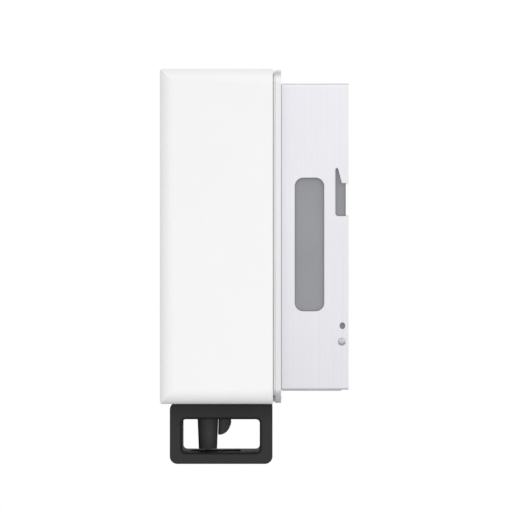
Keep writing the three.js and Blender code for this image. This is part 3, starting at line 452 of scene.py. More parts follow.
def wrap(name, low, high, upward):
    """A battery's printed sleeve: dark, with a copper coloured band at its plus end."""
    look = Look(name, 0.3, 0.55)
    parts = look.node("ShaderNodeSeparateXYZ")
    look.feed(parts.inputs[0], look.place)
    limit = (high - BAND_HEIGHT if upward else low + BAND_HEIGHT) * MM
    band = look.ranged(parts.outputs["Z"], 0.0 if upward else 1.0, 1.0 if upward else 0.0,
                       limit - BAND_BLUR * MM, limit + BAND_BLUR * MM)
    slow = look.ranged(look.noise(90, 3), 0.0, 1.0)
    dark = look.mix(slow, (0.018, 0.018, 0.02, 1), (0.026, 0.026, 0.028, 1))
    copper = look.mix(slow, (0.60, 0.33, 0.14, 1), (0.68, 0.39, 0.18, 1))
    look.colour(look.mix(band, dark, copper))
    look.rough(look.ranged(look.noise(260, 3), 0.29, 0.4))
    look.bump(look.noise(500, 2), 0.12, 0.01)
    return look.material


BOARD = board("circuit_board")
WRAP_UP = wrap("battery_sleeve_up", *span("battery_1", 2), True)
WRAP_DOWN = wrap("battery_sleeve_down", *span("battery_2", 2), False)

# ------------------------------------------------------------------------------------------------
# Places taken from the frame
# ------------------------------------------------------------------------------------------------
HOUSING_X = span("rear_housing", 0)[1]
HOUSING_FRONT = span("rear_housing", 1)[0]
HOUSING_Z = span("rear_housing", 2)
FRAME_X = span("base_frame", 0)[1]
FRAME_BACK = span("base_frame", 1)[1]
LIP_FRONT = span("base_frame", 1)[0]
FRAME_Z = span("base_frame", 2)
COVER_X = span("front_cover", 0)[1]
COVER_FRONT = span("front_cover", 1)[0]
COVER_Z = span("front_cover", 2)
GUARD_X = span("nozzle_guard", 0)[1]
GUARD_Y = span("nozzle_guard", 1)
GUARD_Z = span("nozzle_guard", 2)
NOZZLE_Y = sum(span("nozzle", 1)) / 2
NOZZLE_Z = span("nozzle", 2)
SENSOR_Y = span("sensor_housing", 1)
SENSOR_Z = span("sensor_housing", 2)
LOCK_Y = sum(span("lock_barrel", 1)) / 2
JOINTS = {joint["name"]: joint for joint in frame["joints"]}
HINGE = [value / MM for value in JOINTS["cover_hinge"]["pos_m"]]

# Sizes that the frame doesn't give
FRAME_THICKNESS = 4.0
COVER_SEAM = 1.6  # between the frame and the cover's rim
COVER_WALL = 2.8
SHEET = 1.5
FRAME_FRONT = FRAME_BACK - FRAME_THICKNESS
COVER_BACK = FRAME_FRONT - COVER_SEAM
SIDE_SCREW = (-4.6, -71.3)  # its y and z
PEEP = (-4.2, -60.5)  # y and z of the oval peep hole in the housing's side
PASSAGE_Y = (GUARD_Y[0] + 4, SENSOR_Y[1] + 5)  # where the nozzle and the sensor pass through
PASSAGE_X = 16.0


def both(half, centre=0.0):
    return (centre - half, centre + half)


# ------------------------------------------------------------------------------------------------
# Cover
# ------------------------------------------------------------------------------------------------
FRONT_RADIUS = 10.4  # of the upright front edges
CORNER_RADIUS = 10.5  # of the four corners seen from the front
TOP_EDGE = 2.0  # radius of the edges along the top and the bottom
LEAST_EDGE = 0.6
LOCK_HOLE = 6.3
GUARD_SCREW_INSET = 12
GUARD_SCREW_HOLE = 1.6
RIB = 0.7  # half its thickness
RIB_RISE = 2.2
RIB_X = (-34, -17, 17, 34)
RIB_END_X = 42
WINDOW_X = span("level_window", 0)[1]
WINDOW_Z = span("level_window", 2)
WINDOW_GAP = 0.3
EAR_X = span("hinge_pin_right", 0)[0] + 6  # middle of the ear that turns on each hinge pin
EAR = 2  # half its thickness
EAR_RADIUS = 2.4
EAR_HOLE = 1.5


def cover_block(inset, back):
    """The cover's outer form, or its hollow when it is inset by the wall's thickness."""
    side = COVER_X - inset
    front = COVER_FRONT + inset
    z = (COVER_Z[0] + inset, COVER_Z[1] - inset)
    upright = FRONT_RADIUS - inset
    edge = max(TOP_EDGE - inset, LEAST_EDGE)
    plan = (
        [(side, back), (-side, back)]
        + arc(-side + upright, front + upright, upright, 180, 270, 16)
        + arc(side - upright, front + upright, upright, 270, 360, 16)
    )
    profile = (
        [(back, z[0]), (back, z[1])]
        + arc(front + edge, z[1] - edge, edge, 90, 180, 8)
        + arc(front + edge, z[0] + edge, edge, 180, 270, 8)
    )
    face = rounded(both(side), z, CORNER_RADIUS - inset, 16)
    return common(
        prism("z", plan, z[0], z[1]),
        prism("y", face, front, back),
        prism("x", profile, -side, side),
    )


def cover():
    shell = cut(cover_block(0, COVER_BACK), cover_block(COVER_WALL, COVER_BACK + PAST))
    inner = COVER_FRONT + COVER_WALL
    wall = (COVER_Z[0] - PAST, COVER_Z[0] + COVER_WALL + PAST)
    opening_z = both((WINDOW_Z[1] - WINDOW_Z[0]) / 2 + WINDOW_GAP, sum(WINDOW_Z) / 2)
    opening = rounded(both(WINDOW_X + WINDOW_GAP), opening_z, 1.4, 6)
    cuts = [
        prism("z", rounded(both(PASSAGE_X), PASSAGE_Y, 2, 6), *wall),
        rod("z", LOCK_HOLE, COVER_Z[1] - COVER_WALL - PAST, COVER_Z[1] + PAST, (0, LOCK_Y), 64),
        prism("y", opening, COVER_FRONT - PAST, inner + PAST),
    ]
    for x in both(GUARD_X - GUARD_SCREW_INSET):
        for y in (GUARD_Y[0] + GUARD_SCREW_INSET, GUARD_Y[1] - GUARD_SCREW_INSET):
            cuts.append(rod("z", GUARD_SCREW_HOLE, *wall, (x, y), 24))
    shell = cut(shell, *cuts)
    rib_y = (inner - 0.5, inner + RIB_RISE)
    rib_z = (COVER_Z[0] + 22, COVER_Z[1] - 16)
    ribs = [box(both(RIB, x), rib_y, rib_z) for x in RIB_X]
    ribs += [box(both(RIB_END_X), rib_y, both(RIB, z)) for z in (rib_z[0] + RIB, rib_z[1] - RIB)]
    shell = join(shell, *ribs)
    for x in both(EAR_X):
        ear_z = COVER_Z[0] + COVER_WALL / 2
        ear = (
            arc(HINGE[1], HINGE[2], EAR_RADIUS, -90, 90, 12)
            + [(COVER_BACK - 6, HINGE[2] + EAR_RADIUS), (COVER_BACK - 9, ear_z)]
            + [(COVER_BACK - 0.3, ear_z)]
        )
        shell = join(shell, prism("x", ear, *both(EAR, x)))
        shell = cut(shell, rod("x", EAR_HOLE, *both(EAR + PAST, x), (HINGE[1], HINGE[2]), 24))
    return finished(shell, "cover_shell", "cover", ["front_cover"], COVER_WHITE, 0.45, 3, 30)


def cover_window():
    outline = rounded(both(WINDOW_X), WINDOW_Z, 1.2, 8)
    pane = prism("y", outline, COVER_FRONT + 0.1, COVER_FRONT + COVER_WALL)
    return finished(pane, "cover_window", "cover", ["level_window"], SMOKY, 0.5, 3, 30)


# ------------------------------------------------------------------------------------------------
# Frame and sheet housing
# ------------------------------------------------------------------------------------------------
FRAME_CORNER = 9.0
LIP_INSET = 7  # of the lip's outside from the frame's outline
LIP_WALL = 2
CHASSIS_GATE = 34.3  # half the gap in the lip's bottom that the pump chassis stands in
WIRE_HOLE_Z = (-47.5, -42.5)
HOUSING_RIM = 14  # of the sheet that is folded in round the housing's mouth
SLOT_Y = (HOUSING_FRONT + 9, HOUSING_FRONT + 29.2)
SLOT_Z = (-50.65, 40.65)
NOTCH_FOOT, NOTCH_STEP, NOTCH_TIP = 14.4, 36.9, 46.2  # heights in the housing's side notch
NOTCH_STEP_Y = -4.6
PEEP_HALF = (1.9, 2.25)  # half the peep hole's width and height
SEAM_DEPTH = 0.35
SEAM_END = -5  # the seam stops short of the housing's back, where the bottom is cut back
HEX_RADIUS = 1.15  # of the socket in a side screw's head


def inset_outline(x, z, inset, corner, steps):
    """A centred outline that reaches x to each side and spans z, all drawn in by inset."""
    return rounded(both(x - inset), (z[0] + inset, z[1] - inset), corner, steps)


def frame_plate():
    lid_x, lid_z = span("battery_lid", 0)[1], span("battery_lid", 2)
    outer = prism("y", rounded(both(FRAME_X), FRAME_Z, FRAME_CORNER, 14), FRAME_FRONT, FRAME_BACK)
    lip_x = FRAME_X - LIP_INSET
    lip_z = (FRAME_Z[0] + LIP_INSET, FRAME_Z[1] - LIP_INSET)
    lip = cut(
        prism("y", rounded(both(lip_x), lip_z, 5, 10), LIP_FRONT, FRAME_FRONT + PAST),
        prism("y", inset_outline(lip_x, lip_z, LIP_WALL, 3, 10), LIP_FRONT - PAST,
              FRAME_FRONT + 2 * PAST),
    )
    plate = join(outer, lip)
    through = (FRAME_FRONT - PAST, FRAME_BACK + PAST)
    cuts = [
        box(both(CHASSIS_GATE), (LIP_FRONT - PAST, FRAME_FRONT),
            (lip_z[0] - PAST, lip_z[0] + LIP_WALL + PAST)),
        prism("y", inset_outline(lid_x, lid_z, 3, 2, 6), *through),
        prism("y", rounded(both(7), WIRE_HOLE_Z, 1.5, 6), *through),
    ]
    for x in both(EAR_X):
        cuts.append(box(both(EAR + 0.3, x), through, (FRAME_Z[0] - PAST, HINGE[2] + 3)))
    plate = cut(plate, *cuts)
    rail_front = FRAME_FRONT - 4
    rails = []
    for side in (-1, 1):
        reach = sorted((side * (lid_x + 0.3), side * (lid_x + 2.3)))
        hook = sorted((side * (lid_x - 1.2), side * (lid_x + 2.3)))
        rails.append(box(reach, (rail_front, FRAME_FRONT + PAST), lid_z))
        rails.append(box(hook, (rail_front, rail_front + 1.2), lid_z))
    plate = join(plate, *rails)
    return finished(plate, "frame_plate", "dispenser", ["base_frame"], FRAME_SATIN, 0.6, 3, 30)


def frame_ridge():
    """A low ridge that fills the seam behind the cover's rim, above the hinge."""
    inset, width, rise = 0.8, 2.0, COVER_SEAM - 0.3
    deeper = inset + width
    past = (FRAME_FRONT - rise - PAST, FRAME_FRONT + PAST)
    outer = prism("y", inset_outline(FRAME_X, FRAME_Z, inset, FRAME_CORNER - inset, 14),
                  FRAME_FRONT - rise, FRAME_FRONT)
    inner = prism("y", inset_outline(FRAME_X, FRAME_Z, deeper, FRAME_CORNER - deeper, 14), *past)
    below = box(both(FRAME_X + PAST), past, (FRAME_Z[0] - PAST, HINGE[2] + 2))
    ridge = cut(outer, inner, below)
    return finished(ridge, "frame_ridge", "dispenser", [], FRAME_SATIN, 0.25, 2, 30)


def housing_shell():
    body = prism("y", rounded(both(HOUSING_X), HOUSING_Z, 2, 10), HOUSING_FRONT, 0)
    inner = prism("y", inset_outline(HOUSING_X, HOUSING_Z, SHEET, 0.6, 6),
                  HOUSING_FRONT + SHEET, PAST)
    mouth = prism("y", inset_outline(HOUSING_X, HOUSING_Z, HOUSING_RIM, 3, 8),
                  HOUSING_FRONT - PAST, 0)
    notch = (
        [(PAST, NOTCH_FOOT), (PAST, NOTCH_STEP), (NOTCH_STEP_Y, NOTCH_STEP)]
        + arc(-8, NOTCH_TIP, 1, 0, 180, 12)
        + arc(-7, NOTCH_FOOT + 2, 2, 180, 270, 8)
    )
    peep = [(PEEP[0] + PEEP_HALF[0] * math.cos(a), PEEP[1] + PEEP_HALF[1] * math.sin(a))
            for a in (2 * math.pi * i / 32 for i in range(32))]
    across = both(HOUSING_X + PAST)
    body = cut(body, inner, mouth, prism("x", rounded(SLOT_Y, SLOT_Z, 5.9, 10), *across),
               prism("x", notch, *across), prism("x", peep, *across),
               rod("x", 1.8, *across, SIDE_SCREW, 32))
    low = HOUSING_Z[0]
    seams = []
    for side in (-1, 1):
        x = sorted((side * (HOUSING_X - SEAM_DEPTH), side * (HOUSING_X + PAST)))
        seams.append(box(x, (HOUSING_FRONT - PAST, SEAM_END), (low + 0.35, low + 1.0)))
    body = cut(body, *seams)
    body = cut(body, box(across, (SEAM_END, PAST), (low - PAST, low + 0.8)))
    return finished(body, "housing_sheet", "dispenser", ["rear_housing"], BRUSHED, 0.16, 2, 40)


def side_screws():
    for side, node in ((1, "side_screw_right"), (-1, "side_screw_left")):
        dome = [(0, 2.0), (0.9, 1.95), (1.7, 1.65), (2.3, 1.15), (2.65, 0.5), (2.7, 0.1), (1.5, 0.1),
                (1.5, -3.6), (0, -3.6)]
        head = turned(list(reversed(dome)), (0, 0), 48)
        head = cut(head, prism("z", disc(0, 0, HEX_RADIUS, 6), 0.9, 3))
        turn = Matrix.Rotation(math.radians(90 * side), 4, "Y")
        moved(head, Matrix.Translation(Vector((side * HOUSING_X, *SIDE_SCREW)) * MM) @ turn)
        finished(head, node + "_head", "dispenser", [node], STEEL, 0.08, 2, 35)


# ------------------------------------------------------------------------------------------------
# Outlet guard, nozzle and sensor
# ------------------------------------------------------------------------------------------------
FRONT_BAR, BACK_BAR, FLOOR_BAR, TOP_BAR = 8.4, 8.7, 7.8, 10.5  # what the guard's window leaves
GUARD_WINDOW_Y = (GUARD_Y[0] + FRONT_BAR, GUARD_Y[1] - BACK_BAR)
GUARD_WINDOW_Z = (GUARD_Z[0] + FLOOR_BAR, GUARD_Z[1] - TOP_BAR)
GUARD_CORNERS = (5.2, 5.2, 1.8, 3.6)  # front bottom, back bottom, back top, front top


def guard():
    loop = prism("x", rounded(GUARD_Y, GUARD_Z, GUARD_CORNERS, 12), *both(GUARD_X))
    corner, steps, chamfer = 2.8, 10, 1.6
    window = rounded(GUARD_WINDOW_Y, GUARD_WINDOW_Z, corner, steps)
    wide = rounded((GUARD_WINDOW_Y[0] - chamfer, GUARD_WINDOW_Y[1] + chamfer),
                   (GUARD_WINDOW_Z[0] - chamfer, GUARD_WINDOW_Z[1] + chamfer), corner + chamfer, steps)
    chamfers = []
    for side in (-1, 1):
        points = [(side * (GUARD_X + 0.05), y, z) for y, z in wide]
        points += [(side * (GUARD_X - chamfer), y, z) for y, z in window]
        chamfers.append(make_object(points, ring_faces(len(window), 1)))
    floor_y = (NOZZLE_Y - 12.2, SENSOR_Y[1] + 6)
    loop = cut(
        loop,
        prism("x", window, *both(GUARD_X + PAST)),
        prism("z", rounded(both(PASSAGE_X), PASSAGE_Y, 2, 6), GUARD_WINDOW_Z[1] - 4,
              GUARD_Z[1] + PAST),
        prism("z", rounded(both(PASSAGE_X - 2), floor_y, 3, 8), GUARD_Z[0] - PAST,
              GUARD_WINDOW_Z[0] + PAST),
    )
    loop = pre_rounded(cut(loop, *chamfers), 1.3, 5, 50)
    made = finished(loop, "guard_loop", "cover", ["nozzle_guard"], GUARD_BLACK, 0, 2, 40)
    # Painted shade: the window's inner faces and its chamfers take the darker copy of the guard's black
    edge = chamfer - 0.05
    two_materials(made, GUARD_PAINTED_SHADE, lambda c: abs(c.x) < GUARD_X - 0.05
                 and GUARD_WINDOW_Y[0] - edge < c.y < GUARD_WINDOW_Y[1] + edge
                 and GUARD_WINDOW_Z[0] - edge < c.z < GUARD_WINDOW_Z[1] + edge)
    return made


def nozzle():
    tip, top = NOZZLE_Z
    seat = top - 2.8 - 0.3
    low = GUARD_WINDOW_Z[1]
    profile = (
        [(2.5, tip + 0.4), (2.9, tip), (5.4, tip)]
        + [(5.4 + math.sin(a), tip + 1.0 - math.cos(a))
           for a in (math.radians(15 * i) for i in range(1, 7))]
        + [(6.5, tip + 4), (7.2, low), (7.5, low + 2), (7.5, seat - 3.4), (8.6, seat - 3),
           (9, seat - 2.6), (9, seat - 0.3), (8.7, seat), (4.6, seat), (4.6, top - 0.4), (4.2, top),
           (2.5, top)]
    )
    return finished(turned(profile, (0, NOZZLE_Y), 96), "nozzle_tube", "dispenser", ["nozzle"],
                    NOZZLE_BLACK, 0, 2, 40)


def sensor_shroud():
    """A flat-sided barrel: knurled where it shows, with a rim at its top and a domed open end."""
    front, back = SENSOR_Y[0] - 0.25, SENSOR_Y[1] - 0.95
    depth, middle = (back - front) / 2, (front + back) / 2
    width = span("sensor_housing", 0)[1] - 0.3
    rim = GUARD_WINDOW_Z[1] - 2.2
    dome_length, dome_rise = 7.8, 8.4
    dome_start = back - dome_length
    lean = 0.03  # of the front face, which follows the nozzle's taper
    knurl_height, ridges, pitch = 0.62, 20, 1.9  # two crossing sets of slanted grooves
    around, levels = 200, 110
    points = []
    for j in range(levels + 1):
        for i in range(around):
            a = 2 * math.pi * i / around
            c, s = math.cos(a), math.sin(a)
            x = math.copysign(abs(c) ** 0.45, c) * width
            y = middle + math.copysign(abs(s) ** 0.8, s) * depth
            t = min(max((y - dome_start) / dome_length, 0), 1)
            bottom = SENSOR_Z[0] + 1 + dome_rise * (1 - math.sqrt(1 - t * t * 0.995))
            z = bottom + (SENSOR_Z[1] - bottom) * j / levels
            knurl = 0.0
            if bottom + 0.6 < z < rim:
                knurl = (knurl_height * abs(math.sin(a * ridges + z * pitch))
                         * abs(math.sin(a * ridges - z * pitch)))
            elif rim <= z < rim + 1.3:
                knurl = 0.4
            if s < 0:
                y -= lean * max(GUARD_WINDOW_Z[1] - z, 0) * -s
                knurl *= 0.4
            points.append((x + c * knurl, y + s * knurl, z))
    body = make_object(points, ring_faces(around, levels))
    hollow = prism("z", rounded(both(width - 2.0), both(depth - 1.5, middle), 1.6, 6),
                   SENSOR_Z[0] - PAST, SENSOR_Z[1] - 6)
    relief = rod("z", 9.3, SENSOR_Z[1] - 3.3, SENSOR_Z[1] + PAST, (0, NOZZLE_Y), 64)
    groove = rod("z", 7.8, GUARD_WINDOW_Z[1] + 0.5, SENSOR_Z[1] + PAST, (0, NOZZLE_Y), 64)
    body = cut(body, hollow, relief, groove)
    return finished(body, "sensor_shroud", "dispenser", ["sensor_housing"], NOZZLE_BLACK, 0, 2, 40)


# ------------------------------------------------------------------------------------------------
# Tub
# ------------------------------------------------------------------------------------------------
TUB_WALL = 2
CABLE_HOLE_Z = (60, 75)
BOSS_RADIUS = 2.9  # of the boss behind each peep hole


def tub():
    x = span("rear_tub", 0)[1]
    y = span("rear_tub", 1)
    z = span("rear_tub", 2)
    shell = cut(
        prism("y", rounded(both(x), z, 4, 10), *y),
        prism("y", inset_outline(x, z, TUB_WALL, 2, 8), y[0] - PAST, y[1] - TUB_WALL),
        prism("y", rounded(both(9), CABLE_HOLE_Z, 2, 6), y[1] - TUB_WALL - PAST, y[1] + PAST),
    )
    for side in (-1, 1):
        across = sorted((side * (x - BOSS_RADIUS), side * x))
        shell = join(shell, rod("x", BOSS_RADIUS, *across, (PEEP[0] - 1, PEEP[1]), 32))
    return finished(shell, "tub_shell", "dispenser", ["rear_tub"], TUB_GREY, 0.4, 2, 35)


cover()
cover_window()
frame_plate()
frame_ridge()
housing_shell()
side_screws()
guard()
nozzle()
sensor_shroud()
tub()

# ------------------------------------------------------------------------------------------------
# Tank, batteries, motor and other fittings under the cover
# ------------------------------------------------------------------------------------------------
TANK_WALL = 2
NECK_RADIUS, NECK_HOLE = 15, 12.5
SPOUT_RADIUS, SPOUT_HOLE, SPOUT_LENGTH = 4.2, 2.7, 4.2
CAP_GAP = 1.5  # between the tank's top and its cap
MARK_X, MARK_START, MARK_STEP = 31, 18, 17  # of the level marks on the tank's front
CAP_AT = (0, sum(span("cap_gasket", 1)) / 2)


def tank():
    x = span("tank", 0)[1]
    y = span("tank", 1)
    z = span("tank", 2)
    bottom = z[0] + SPOUT_LENGTH
    top = span("tank_cap", 2)[0] - CAP_GAP
    outer = pre_rounded(prism("z", rounded(both(x), y, 8, 12), bottom, top), 2.4)
    inner = pre_rounded(prism("z", inset_outline(x, y, TANK_WALL, 6, 12), bottom + TANK_WALL,
                              top - TANK_WALL), 1.2)
    spout_at = (sum(span("hose_collar", 0)) / 2, NOZZLE_Y)
    body = join(outer, rod("z", NECK_RADIUS, top - PAST, z[1], CAP_AT, 64),
                rod("z", SPOUT_RADIUS, z[0], bottom + PAST, spout_at, 32))
    body = cut(body, inner, rod("z", NECK_HOLE, top - TANK_WALL - PAST, top + 20, CAP_AT, 64),
               rod("z", SPOUT_HOLE, bottom - 20, bottom + TANK_WALL + PAST, spout_at, 32))
    raised = (y[0] - 0.7, y[0] + 0.6)
    marks = []
    for i in range(7):
        half = 9 if i % 3 == 0 else 5.5
        line = rounded(both(half, MARK_X), both(0.6, bottom + MARK_START + i * MARK_STEP), 0.5, 4)
        marks.append(prism("y", line, *raised))
    panel = cut(prism("y", rounded(both(21), (bottom + 12, top - 14), 5, 8), *raised),
                prism("y", rounded(both(19.2), (bottom + 13.8, top - 15.8), 4, 8),
                      y[0] - 2, y[0] + 2))
    body = join(body, panel, *marks)
    return finished(body, "tank_bottle", "dispenser", ["tank"], BOTTLE, 0.2, 2, 40)


def tank_cap():
    z = span("tank_cap", 2)
    radius = span("tank_cap", 0)[1]
    rim_top = z[1] - 1.4
    around, flutes, flute_depth = 288, 24, 0.75
    rings = [(0.5, z[0]), (0, z[0] + 0.6), (0, rim_top - 1.0), (1.1, rim_top)]  # shrink and height
    points = []
    for shrink, height in rings:
        for i in range(around):
            a = 2 * math.pi * i / around
            r = radius - shrink - flute_depth * (0.5 + 0.5 * math.cos(flutes * a)) ** 2
            points.append((CAP_AT[0] + r * math.cos(a), CAP_AT[1] + r * math.sin(a), height))
    body = make_object(points, ring_faces(around, len(rings) - 1))
    dish = [(0, rim_top - 1.1), (13.2, rim_top - 1.1), (14.4, rim_top + PAST), (0, rim_top + PAST)]
    body = cut(body, rod("z", 15.4, z[0] - PAST, rim_top - 2, CAP_AT, 96), turned(dish, CAP_AT, 96))
    grip = prism("z", rounded(both(1.9), both(13.6, CAP_AT[1]), 1.8, 8), rim_top - 1.6, z[1])
    body = join(body, grip)
    return finished(body, "tank_cap_grip", "cap", ["tank_cap"], CARRIER_DARK, 0.25, 2, 38)


def batteries():
    """Cells 1 and 3 stand with the plus end up, 2 and 4 with it down."""
    for i in range(1, 5):
        node = f"battery_{i}"
        x, y, z = (span(node, axis) for axis in range(3))
        at = (sum(x) / 2, sum(y) / 2)
        radius = (x[1] - x[0]) / 2
        profile = [(0, 0), (4.6, 0), (4.9, 0.35), (5.4, 0.35), (5.7, 0.5), (radius - 0.7, 0.5),
                   (radius - 0.2, 0.7), (radius, 1.1), (radius, 48.6), (radius - 0.2, 48.9),
                   (radius - 0.7, 49.1), (3.4, 49.1), (2.9, 49.2), (2.6, 49.5), (2.6, 50.2),
                   (2.3, 50.5), (0, 50.5)]
        if i % 2:
            profile = [(r, z[0] + h) for r, h in profile]
        else:
            profile = [(r, z[1] - h) for r, h in profile]
        cell = finished(turned(profile, at, 64), f"cell_{i}", "dispenser", [node],
                        WRAP_UP if i % 2 else WRAP_DOWN, 0, 2, 40)
        two_materials(cell, STEEL, lambda c: not z[0] + 1.3 < c.z < z[1] - 1.3)


def motor():
    x, y, z = (span("motor", axis) for axis in range(3))
    at = (sum(x) / 2, sum(z) / 2)
    radius = (x[1] - x[0]) / 2
    start, end = y[0], y[1] - 2
    front = start + 2.2
    profile = [(1.4, start), (3.1, start), (3.1, front), (radius - 0.6, front), (radius, front + 0.6),
               (radius, end - 3.4), (radius - 0.25, end - 3.2), (radius - 0.25, end - 0.8),
               (radius - 0.9, end), (1.4, end)]
    can = moved(turned(profile, (0, 0), 96), Matrix.Rotation(math.radians(-90), 4, "X"))
    moved(can, Matrix.Translation(Vector((at[0], 0, at[1])) * MM))
    flats = [box(both(radius + PAST, at[0]), (front + 3, end + PAST),
                 both(1.6, at[1] + side * radius)) for side in (-1, 1)]
    can = cut(can, *flats)
    tabs = [prism("y", rounded(both(1, at[0] + side * 5), both(0.4, at[1]), 0.3, 4), end - 0.5, y[1])
            for side in (-1, 1)]
    can = join(can, *tabs)
    made = finished(can, "motor_can", "dispenser", ["motor"], STEEL, 0.1, 2, 40)
    two_materials(made, BOX_BLACK, lambda c: end - 3.3 < c.y < end + 0.05)


def battery_lid():
    x = span("battery_lid", 0)[1]
    y = span("battery_lid", 1)
    z = span("battery_lid", 2)
    lid = prism("y", rounded(both(x), z, 1.2, 6), *y)
    grips = []
    for i in range(5):
        bar = rounded(both(9 - 1.1 * i), both(0.6, z[0] + 8 + 2.4 * i), 0.55, 4)
        grips.append(prism("y", bar, y[0] - 0.9, y[0] + 0.5))
    border = cut(prism("y", rounded(both(x - 5), (z[0] + 4, z[1] - 4), 3, 8), y[0] - 0.35, y[0] + 0.5),
                 prism("y", rounded(both(x - 6.2), (z[0] + 5.2, z[1] - 5.2), 2.2, 8),
                       y[0] - 2, y[0] + 2))
    return finished(join(lid, border, *grips), "battery_lid_plate", "battery_lid", ["battery_lid"],
                    CARRIER_GREY, 0.2, 2, 38)


def screw(node, axis, body="dispenser"):
    """A pan head screw with a cross recess and a threaded shank, its head at the front or on top."""
    spans = [span(node, i) for i in range(3)]
    low, high = spans["xyz".index(axis)]
    length = high - low
    centre = [sum(ends) / 2 for ends in spans]
    head = (spans[0][1] - spans[0][0]) / 2
    rise = 1.9  # of the head
    shank, root, pitch = 1.3, 1.02, 0.9  # of the thread
    profile = [(0, length), (head * 0.35, length), (head * 0.72, length - 0.3),
               (head * 0.95, length - 0.9), (head, length - 1.4), (head, length - rise),
               (shank, length - rise)]
    level = length - rise - 0.8
    while level > 1.6:
        profile += [(shank, level), (root, level - pitch * 0.3), (root, level - pitch * 0.6),
                    (shank, level - pitch * 0.9)]
        level -= pitch
    profile += [(1.1, 0.9), (0.35, 0), (0, 0)]
    made = turned(list(reversed(profile)), (0, 0), 40)
    long, narrow, recess = both(head * 0.55), both(0.36), (length - 1.1, length + PAST)
    made = cut(made, prism("z", rounded(long, narrow, 0.1, 3), *recess),
               prism("z", rounded(narrow, long, 0.1, 3), *recess))
    if axis == "z":
        turn = Matrix.Translation(Vector((centre[0], centre[1], low)) * MM)
    else:
        turn = (Matrix.Translation(Vector((centre[0], high, centre[2])) * MM)
                @ Matrix.Rotation(math.radians(90), 4, "X"))
    moved(made, turn)
    return finished(made, node + "_cross", body, [node], STEEL, 0.05, 2, 40)


def screws():
    for i in range(1, 5):
        screw(f"frame_screw_{i}", "y")
        screw(f"guard_screw_{i}", "z", "cover")
    for i in range(1, 3):
        screw(f"chassis_screw_{i}", "y")
    for i in range(1, 4):
        screw(f"pump_screw_{i}", "y")
    screw("catch_screw", "y")


def hinge_pins():
    for node in ("hinge_pin_right", "hinge_pin_left"):
        x, y, z = (span(node, axis) for axis in range(3))
        radius = (y[1] - y[0]) / 2
        pin = rod("x", radius, *x, (sum(y) / 2, sum(z) / 2), 40)
        finished(pin, node + "_rod", "dispenser", [node], STEEL, 0.25, 3, 40)


def lock_barrel():
    z = span("lock_barrel", 2)
    at = (0, LOCK_Y)
    radius = span("lock_barrel", 0)[1]
    cam_top = span("lock_cam", 2)[1]
    profile = [(0, cam_top + 0.3), (4, cam_top + 0.3), (4, cam_top + 4), (radius, cam_top + 4),
               (radius, z[1] - 0.5), (radius - 0.15, z[1] - 0.15), (radius - 0.5, z[1]),
               (4.9, z[1]), (4.6, z[1] - 0.35), (0, z[1] - 0.35)]
    barrel = turned(profile, at, 96)
    barrel = join(barrel, box(both(1.7), both(1.7, LOCK_Y), (z[0], cam_top + PAST)))
    keyhole = join(rod("z", 1.25, z[1] - 4, z[1] + PAST, at, 32),
                   box(both(0.6), (LOCK_Y - 3.2, LOCK_Y + 2.2), (z[1] - 4, z[1] + PAST)))
    barrel = cut(barrel, keyhole)
    return finished(barrel, "lock_keyhole", "lock", ["lock_barrel"], STEEL, 0.08, 2, 40)


tank()
tank_cap()
batteries()
motor()
battery_lid()
screws()
hinge_pins()
lock_barrel()

# ------------------------------------------------------------------------------------------------
# CAD nodes that keep their shape and get a better finish
# ------------------------------------------------------------------------------------------------
DRESSED = {
    "wall_plate": PLATE_COAT, "battery_box": BOX_BLACK, "contact_strip_top": BRASS,
    "contact_strip_bottom": BRASS, "control_board": BOARD, "board_chip": BOX_BLACK,
    "board_capacitor": STEEL, "lock_catch": STEEL, "cap_gasket": RUBBER, "hose_collar": CARRIER_DARK,
    "pump_chassis": CARRIER_GREY, "pump_body": CARRIER_DARK, "pump_lid": CLEAR, "pump_hose": SILICONE,
    "pump_rotor": GEAR_CREAM, "rotor_gear": GEAR_CREAM, "motor_pinion": BRASS,
    "nozzle_valve": RUBBER, "sensor_lens": LENS, "status_led": LED, "power_button": RUBBER,
    "dose_switch": BOX_BLACK, "switch_board": BOARD, "lock_cam": STEEL, "lock_nut": BRASS,
}
EDGED = ("wall_plate", "pump_chassis", "pump_body", "pump_lid", "battery_box")
for node, look in DRESSED.items():
    kept = frame["nodes"][node]
    kept.data.materials.clear()
    kept.data.materials.append(look)
    if node in EDGED:
        soften(kept, 0.15, 2, 35)
        continue
    for face in kept.data.polygons:
        face.use_smooth = True
    if node != "pump_hose":
        split = kept.modifiers.new("creases", "EDGE_SPLIT")
        split.split_angle = math.radians(35)
rounder = frame["nodes"]["pump_hose"].modifiers.new("rounder", "SUBSURF")
rounder.levels = 1
rounder.render_levels = 1

# ------------------------------------------------------------------------------------------------
# Stage, light and camera, in metres
# ------------------------------------------------------------------------------------------------
FLOOR_DROP = 0.50
FLOOR_HALF = 4
floor_mesh = bpy.data.meshes.new("floor")
floor_mesh.from_pydata([(x * FLOOR_HALF, y * FLOOR_HALF, -FLOOR_DROP)
                        for x, y in ((-1, -1), (1, -1), (1, 1), (-1, 1))], [], [(0, 1, 2, 3)])
floor = bpy.data.objects.new("floor", floor_mesh)
bpy.context.collection.objects.link(floor)
FLOOR_LOOK = Look("floor_pale", 0.9)
FLOOR_LOOK.colour(FLOOR_LOOK.mix(FLOOR_LOOK.ranged(FLOOR_LOOK.noise(2, 2), 0, 1),
                                 (0.52, 0.52, 0.52, 1), (0.54, 0.54, 0.54, 1)))
floor.data.materials.append(FLOOR_LOOK.material)

world = bpy.data.worlds.new("studio")
bpy.context.scene.world = world
world.use_nodes = True
sky = world.node_tree
toward = sky.nodes.new("ShaderNodeSeparateXYZ")
sky.links.new(sky.nodes.new("ShaderNodeTexCoord").outputs["Generated"], toward.inputs[0])


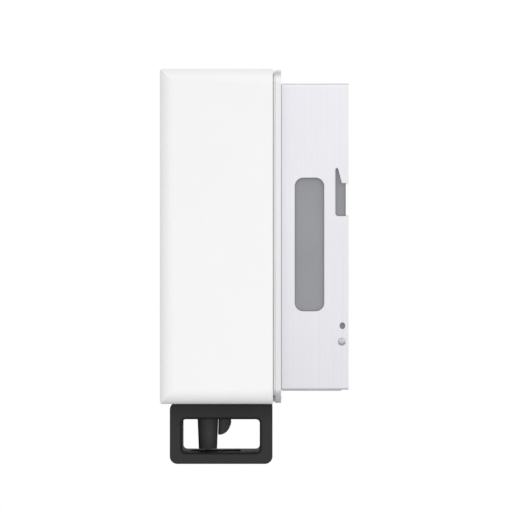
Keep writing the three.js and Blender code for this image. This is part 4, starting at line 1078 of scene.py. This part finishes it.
def sky_range(axis, start, end, low, high):
    """Goes from low to high while the direction's x, y or z goes from start to end."""
    made = sky.nodes.new("ShaderNodeMapRange")
    sky.links.new(toward.outputs[axis], made.inputs["Value"])
    for socket, value in (("From Min", start), ("From Max", end), ("To Min", low), ("To Max", high)):
        made.inputs[socket].default_value = value
    return made.outputs["Result"]


ramp = sky.nodes.new("ShaderNodeValToRGB")
sky.links.new(sky_range("Z", -1, 1, 0, 1), ramp.inputs["Fac"])
# Brightness from straight down (0) to straight up (1)
SKY = [(0.0, 0.30), (0.30, 0.62), (0.42, 1.0), (0.88, 1.0), (0.95, 0.80), (1.0, 0.68)]
ramp.color_ramp.elements[0].position = SKY[0][0]
ramp.color_ramp.elements[0].color = (SKY[0][1],) * 3 + (1,)
ramp.color_ramp.elements[1].position = SKY[-1][0]
ramp.color_ramp.elements[1].color = (SKY[-1][1],) * 3 + (1,)
for position, value in SKY[1:-1]:
    ramp.color_ramp.elements.new(position).color = (value,) * 3 + (1,)
FRONT_SKY = 0.88  # a little darker in front of the object than behind it
RIGHT_SKY = 1.19  # and brighter on the camera's side
both_ways = sky.nodes.new("ShaderNodeMath")
both_ways.operation = "MULTIPLY"
sky.links.new(sky_range("Y", -1, -0.2, FRONT_SKY, 1), both_ways.inputs[0])
sky.links.new(sky_range("X", 0, 0.6, 1, RIGHT_SKY), both_ways.inputs[1])
sky.links.new(ramp.outputs["Color"], sky.nodes["Background"].inputs["Color"])
sky.links.new(both_ways.outputs[0], sky.nodes["Background"].inputs["Strength"])


def soft_light(name, place, aim, size, power):
    light = bpy.data.lights.new(name, "AREA")
    light.shape = "DISK"
    light.size = size
    light.energy = power
    lamp = bpy.data.objects.new(name, light)
    bpy.context.collection.objects.link(lamp)
    lamp.location = place
    lamp.rotation_euler = (Vector(aim) - Vector(place)).to_track_quat("-Z", "Y").to_euler()
    lamp.visible_glossy = False


soft_light("key", (1.1, 0.1, -0.42), (0, -0.06, -0.03), 0.5, 4.2)

CAMERA_PLACE = (3.5, -0.0639, -0.0122)
CAMERA_LENS = 356.7  # a long lens: the photograph shows hardly any perspective
camera_data = bpy.data.cameras.new("camera")
camera_data.lens = CAMERA_LENS
camera_data.sensor_width = 36
camera_data.clip_end = 50
camera = bpy.data.objects.new("camera", camera_data)
bpy.context.collection.objects.link(camera)
camera.location = CAMERA_PLACE
camera.rotation_euler = (math.pi / 2, 0, math.pi / 2)
bpy.context.scene.camera = camera
bpy.context.scene.view_settings.view_transform = "Standard"
